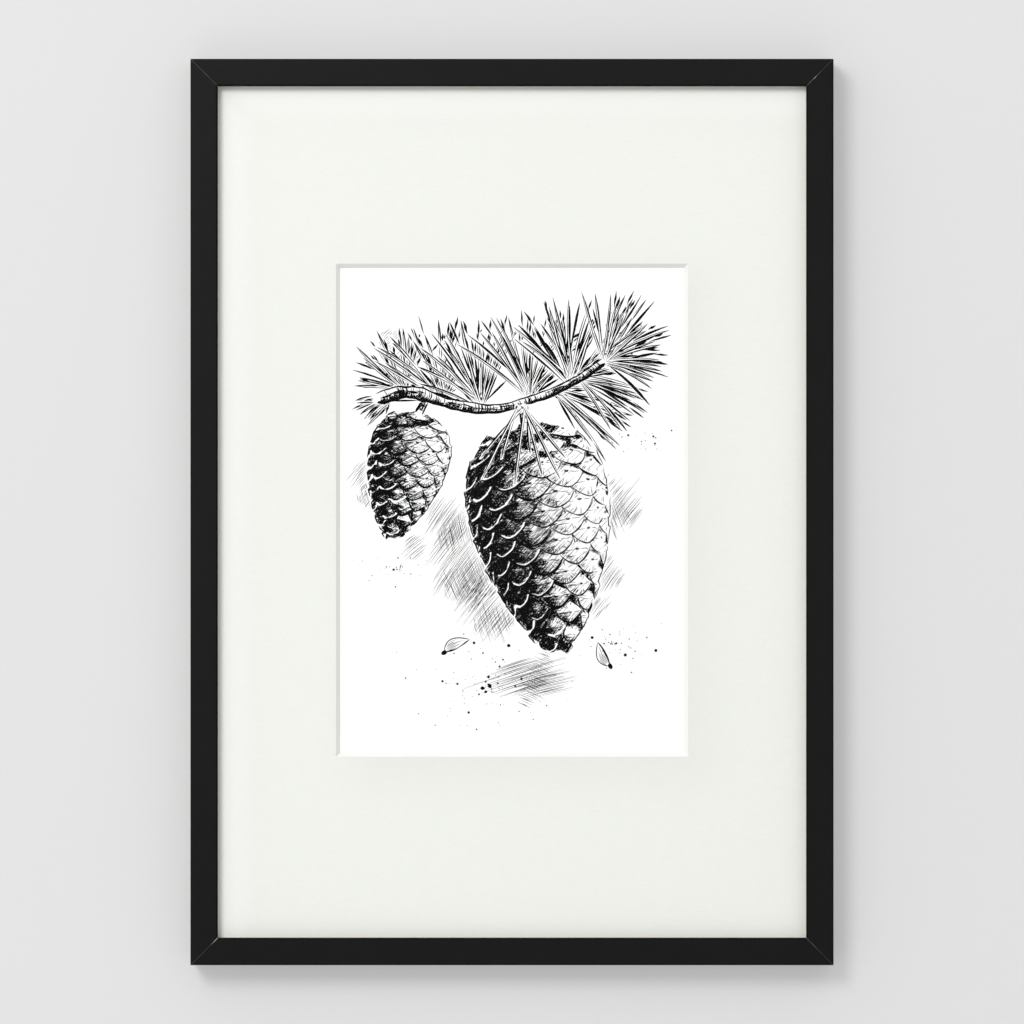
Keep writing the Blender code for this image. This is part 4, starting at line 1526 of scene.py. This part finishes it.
# %% Ink
INK_GLOSS = 0.02
ink_finish = new_finish("drawing_ink")
dried = noise(ink_finish, 900.0, detail=2.0)
set_shader(
    ink_finish,
    Base_Color=blend_colours(ink_finish, dried, grey(0.002), grey(0.006)),
    Roughness=spread(ink_finish, dried, 0.3, 0.7, 0.55, 0.75),
    Normal=relief(ink_finish, dried, 0.01 * MM),
    Specular_IOR_Level=INK_GLOSS,
)
print("finish:", ink_finish.name)

# %% A stroke's body
FOOT, CREST = 0.02 * MM, 0.05 * MM
SPREAD_AT_FOOT = (FOOT + CREST) / CREST


def on_paper(points, rise):
    """Sheet points in millimetres as world points in metres, a little out of the paper."""
    points = np.asarray(points) * MM
    return np.stack([points[:, 0], np.full(len(points), PAPER_Y - rise), points[:, 1] + PAPER_Z], 1)


def ridge(line, widths, first):
    """Vertices and faces of one closed stroke. first is the number of its first vertex."""
    ahead = np.gradient(line, axis=0)
    ahead /= np.maximum(np.linalg.norm(ahead, axis=1, keepdims=True), 1e-9)
    side = np.stack([-ahead[:, 1], ahead[:, 0]], 1) * widths[:, None] / 2 * SPREAD_AT_FOOT
    left, right, crest = on_paper(line + side, -FOOT), on_paper(line - side, -FOOT), on_paper(line, CREST)
    points = np.stack([left, right, crest], 1).reshape(-1, 3)
    start = first + 3 * np.arange(len(line) - 1)[:, None]
    walls = np.concatenate([start + corners for corners in ([0, 1, 4, 3], [1, 2, 5, 4], [2, 0, 3, 5])])
    last = first + 3 * (len(line) - 1)
    return points, walls.tolist() + [[first + 2, first + 1, first], [last, last + 1, last + 2]]


straight = ridge(np.array([[0.0, 0.0], [1.0, 0.0], [2.0, 0.0]]), np.array([0.2, 0.3, 0.2]), 0)
print("a stroke through 3 points has", len(straight[0]), "points and", len(straight[1]), "faces")

# %% A drop's body
DROP_SIDES = 10
TOP_SHARE, ROUGH_RIM = 0.75, 0.05


def dome(at, radius, first):
    """A drop: a rim in the paper, a smaller ring above it and a flat top."""
    turn = np.arange(DROP_SIDES) * 2 * math.pi / DROP_SIDES
    uneven = 1 + ROUGH_RIM * drift(DROP_SIDES)[:, None]
    ring = np.stack([np.cos(turn), np.sin(turn)], 1) * radius * uneven
    points = np.concatenate([on_paper(at + ring, -FOOT), on_paper(at + ring * TOP_SHARE, CREST)])
    low, high = first + np.arange(DROP_SIDES), first + DROP_SIDES + np.arange(DROP_SIDES)
    walls = np.stack([low, np.roll(low, -1), np.roll(high, -1), high], 1).tolist()
    return points, walls + [low[::-1].tolist(), high.tolist()]


print("a drop's faces:", DROP_SIDES + 2)


# %% The ink pieces
def add_ink(name, bodies):
    """One mesh from many small closed bodies, given as functions of their first vertex number."""
    points, faces, count = [], [], 0
    for make_body in bodies:
        body_points, body_faces = make_body(count)
        points.append(body_points)
        faces.extend(body_faces)
        count += len(body_points)
    add_piece(name, np.concatenate(points).tolist(), faces, ink_finish)
    print(name, "triangles:", sum(len(face) - 2 for face in faces))


for layer, lines in strokes.items():
    add_ink(f"ink_{layer}", [lambda first, stroke=stroke: ridge(*stroke, first) for stroke in lines])
for layer, spots in drops.items():
    add_ink(f"ink_{layer}", [lambda first, spot=spot: dome(*spot, first) for spot in spots])

# %% [markdown]
# ## The room
#
# The picture hangs flat on a plain pale wall, which catches its soft shadow, above a plain floor.
# The wall is like a theatre flat: solid from the front and clear from behind, so that the back of
# the picture can be looked at too. It doesn't stop light either, and a lamp behind it lights that
# back. A part of its paleness is a faint glow of its own, like a studio's lit backdrop, which
# keeps the picture's shadow on it light.

# %% Flats of the stage
def add_stage_plane(name, corners, material):
    mesh = bpy.data.meshes.new(name)
    mesh.from_pydata(corners, [], [(0, 1, 2, 3)])
    plane = bpy.data.objects.new(name, mesh)
    bpy.context.scene.collection.objects.link(plane)
    mesh.materials.append(material)
    return plane


# %% Wall paint
WALL_GREY, WALL_GLOW = 0.46, 0.26

wall_paint = new_finish("wall_paint")
set_shader(
    wall_paint,
    Base_Color=grey(WALL_GREY),
    Roughness=0.9,
    Emission_Color=grey(1.0),
    Emission_Strength=WALL_GLOW,
)
wall_paint.cycles.emission_sampling = "NONE"
one_sided = place(wall_paint, "ShaderNodeMixShader")
clear = place(wall_paint, "ShaderNodeBsdfTransparent")
feed(wall_paint, one_sided.inputs[0], place(wall_paint, "ShaderNodeNewGeometry").outputs["Backfacing"])
feed(wall_paint, one_sided.inputs[1], shader_of(wall_paint).outputs[0])
feed(wall_paint, one_sided.inputs[2], clear.outputs[0])
feed(wall_paint, wall_paint.node_tree.nodes["Material Output"].inputs[0], one_sided.outputs[0])
print("finish:", wall_paint.name)

# %% Wall and floor
WALL_Y = 0.3 * MM
WALL_HALF, WALL_TOP = 4.0, 3.0
FLOOR_Z, FLOOR_HALF = -1.6, 14.0
WALL_CORNERS = ((-1, FLOOR_Z), (1, FLOOR_Z), (1, WALL_TOP), (-1, WALL_TOP))
FLOOR_CORNERS = ((-1, -1), (1, -1), (1, 1), (-1, 1))
FLOOR_GREY = 0.60

floor_paint = new_finish("floor_paint")
set_shader(floor_paint, Base_Color=grey(FLOOR_GREY), Roughness=0.8)

wall = add_stage_plane("wall", [(x * WALL_HALF, WALL_Y, z) for x, z in WALL_CORNERS], wall_paint)
wall.visible_shadow = False
floor = add_stage_plane(
    "floor", [(x * FLOOR_HALF, y * FLOOR_HALF, FLOOR_Z) for x, y in FLOOR_CORNERS], floor_paint
)
print("stage:", wall.name, floor.name)

# %% [markdown]
# ## The light
#
# A big soft window stands up and to the left. It leaves a soft band of shadow under the top and
# left lips of the frame, a darker bevel on those sides of the opening, and a shadow on the wall
# to the right and below. A pale room fills the rest. It is lighter above, to the left and in front
# than on the other sides: how much depends on how far a direction leans to the lighter side. A
# second lamp, behind the wall, is only for the back of the picture. It is allowed no bounces, or
# the brown of the back would tint the wall round the frame.

# %% Lamps and room light
KEY_FROM = Vector((-0.36, -0.85, 0.41)).normalized()
KEY_DISTANCE, KEY_SIZE, KEY_WATTS = 3.6, 1.1, 54.5
BACK_FROM = Vector((-0.5, 0.75, 0.45)).normalized()
BACK_DISTANCE, BACK_SIZE, BACK_WATTS = 3.0, 1.6, 80.0
ROOM_LIGHT = 0.622
LIGHTER_SIDE = (-0.5, -0.5, 0.35)


def add_lamp(name, direction, distance, size, watts):
    """A square soft light at a distance from the picture's middle, aimed at it."""
    lamp = bpy.data.objects.new(name, bpy.data.lights.new(name, "AREA"))
    bpy.context.scene.collection.objects.link(lamp)
    lamp.data.size = size
    lamp.data.energy = watts
    lamp.visible_camera = False
    lamp.location = Vector((0.0, FRONT_Y, CENTRE_Z)) + direction * distance
    lamp.rotation_euler = direction.to_track_quat("Z", "Y").to_euler()
    return lamp


add_lamp("key_window", KEY_FROM, KEY_DISTANCE, KEY_SIZE, KEY_WATTS)
back_lamp = add_lamp("back_lamp", BACK_FROM, BACK_DISTANCE, BACK_SIZE, BACK_WATTS)
back_lamp.data.cycles.max_bounces = 0

# %% The pale room
room = bpy.data.worlds.new("room")
room.use_nodes = True
room.node_tree.nodes["Background"].inputs[0].default_value = (1.0, 1.0, 1.0, 1.0)
lean = room.node_tree.nodes.new("ShaderNodeVectorMath")
lean.operation = "DOT_PRODUCT"
lean.inputs[1].default_value = LIGHTER_SIDE
level = room.node_tree.nodes.new("ShaderNodeMath")
level.operation = "MULTIPLY_ADD"
level.inputs[1].default_value, level.inputs[2].default_value = ROOM_LIGHT, ROOM_LIGHT
looked_at = room.node_tree.nodes.new("ShaderNodeTexCoord").outputs["Generated"]
room.node_tree.links.new(looked_at, lean.inputs[0])
room.node_tree.links.new(lean.outputs["Value"], level.inputs[0])
room.node_tree.links.new(level.outputs[0], room.node_tree.nodes["Background"].inputs[1])
bpy.context.scene.world = room
bpy.context.scene.view_settings.view_transform = "Standard"
print("room light:", ROOM_LIGHT)
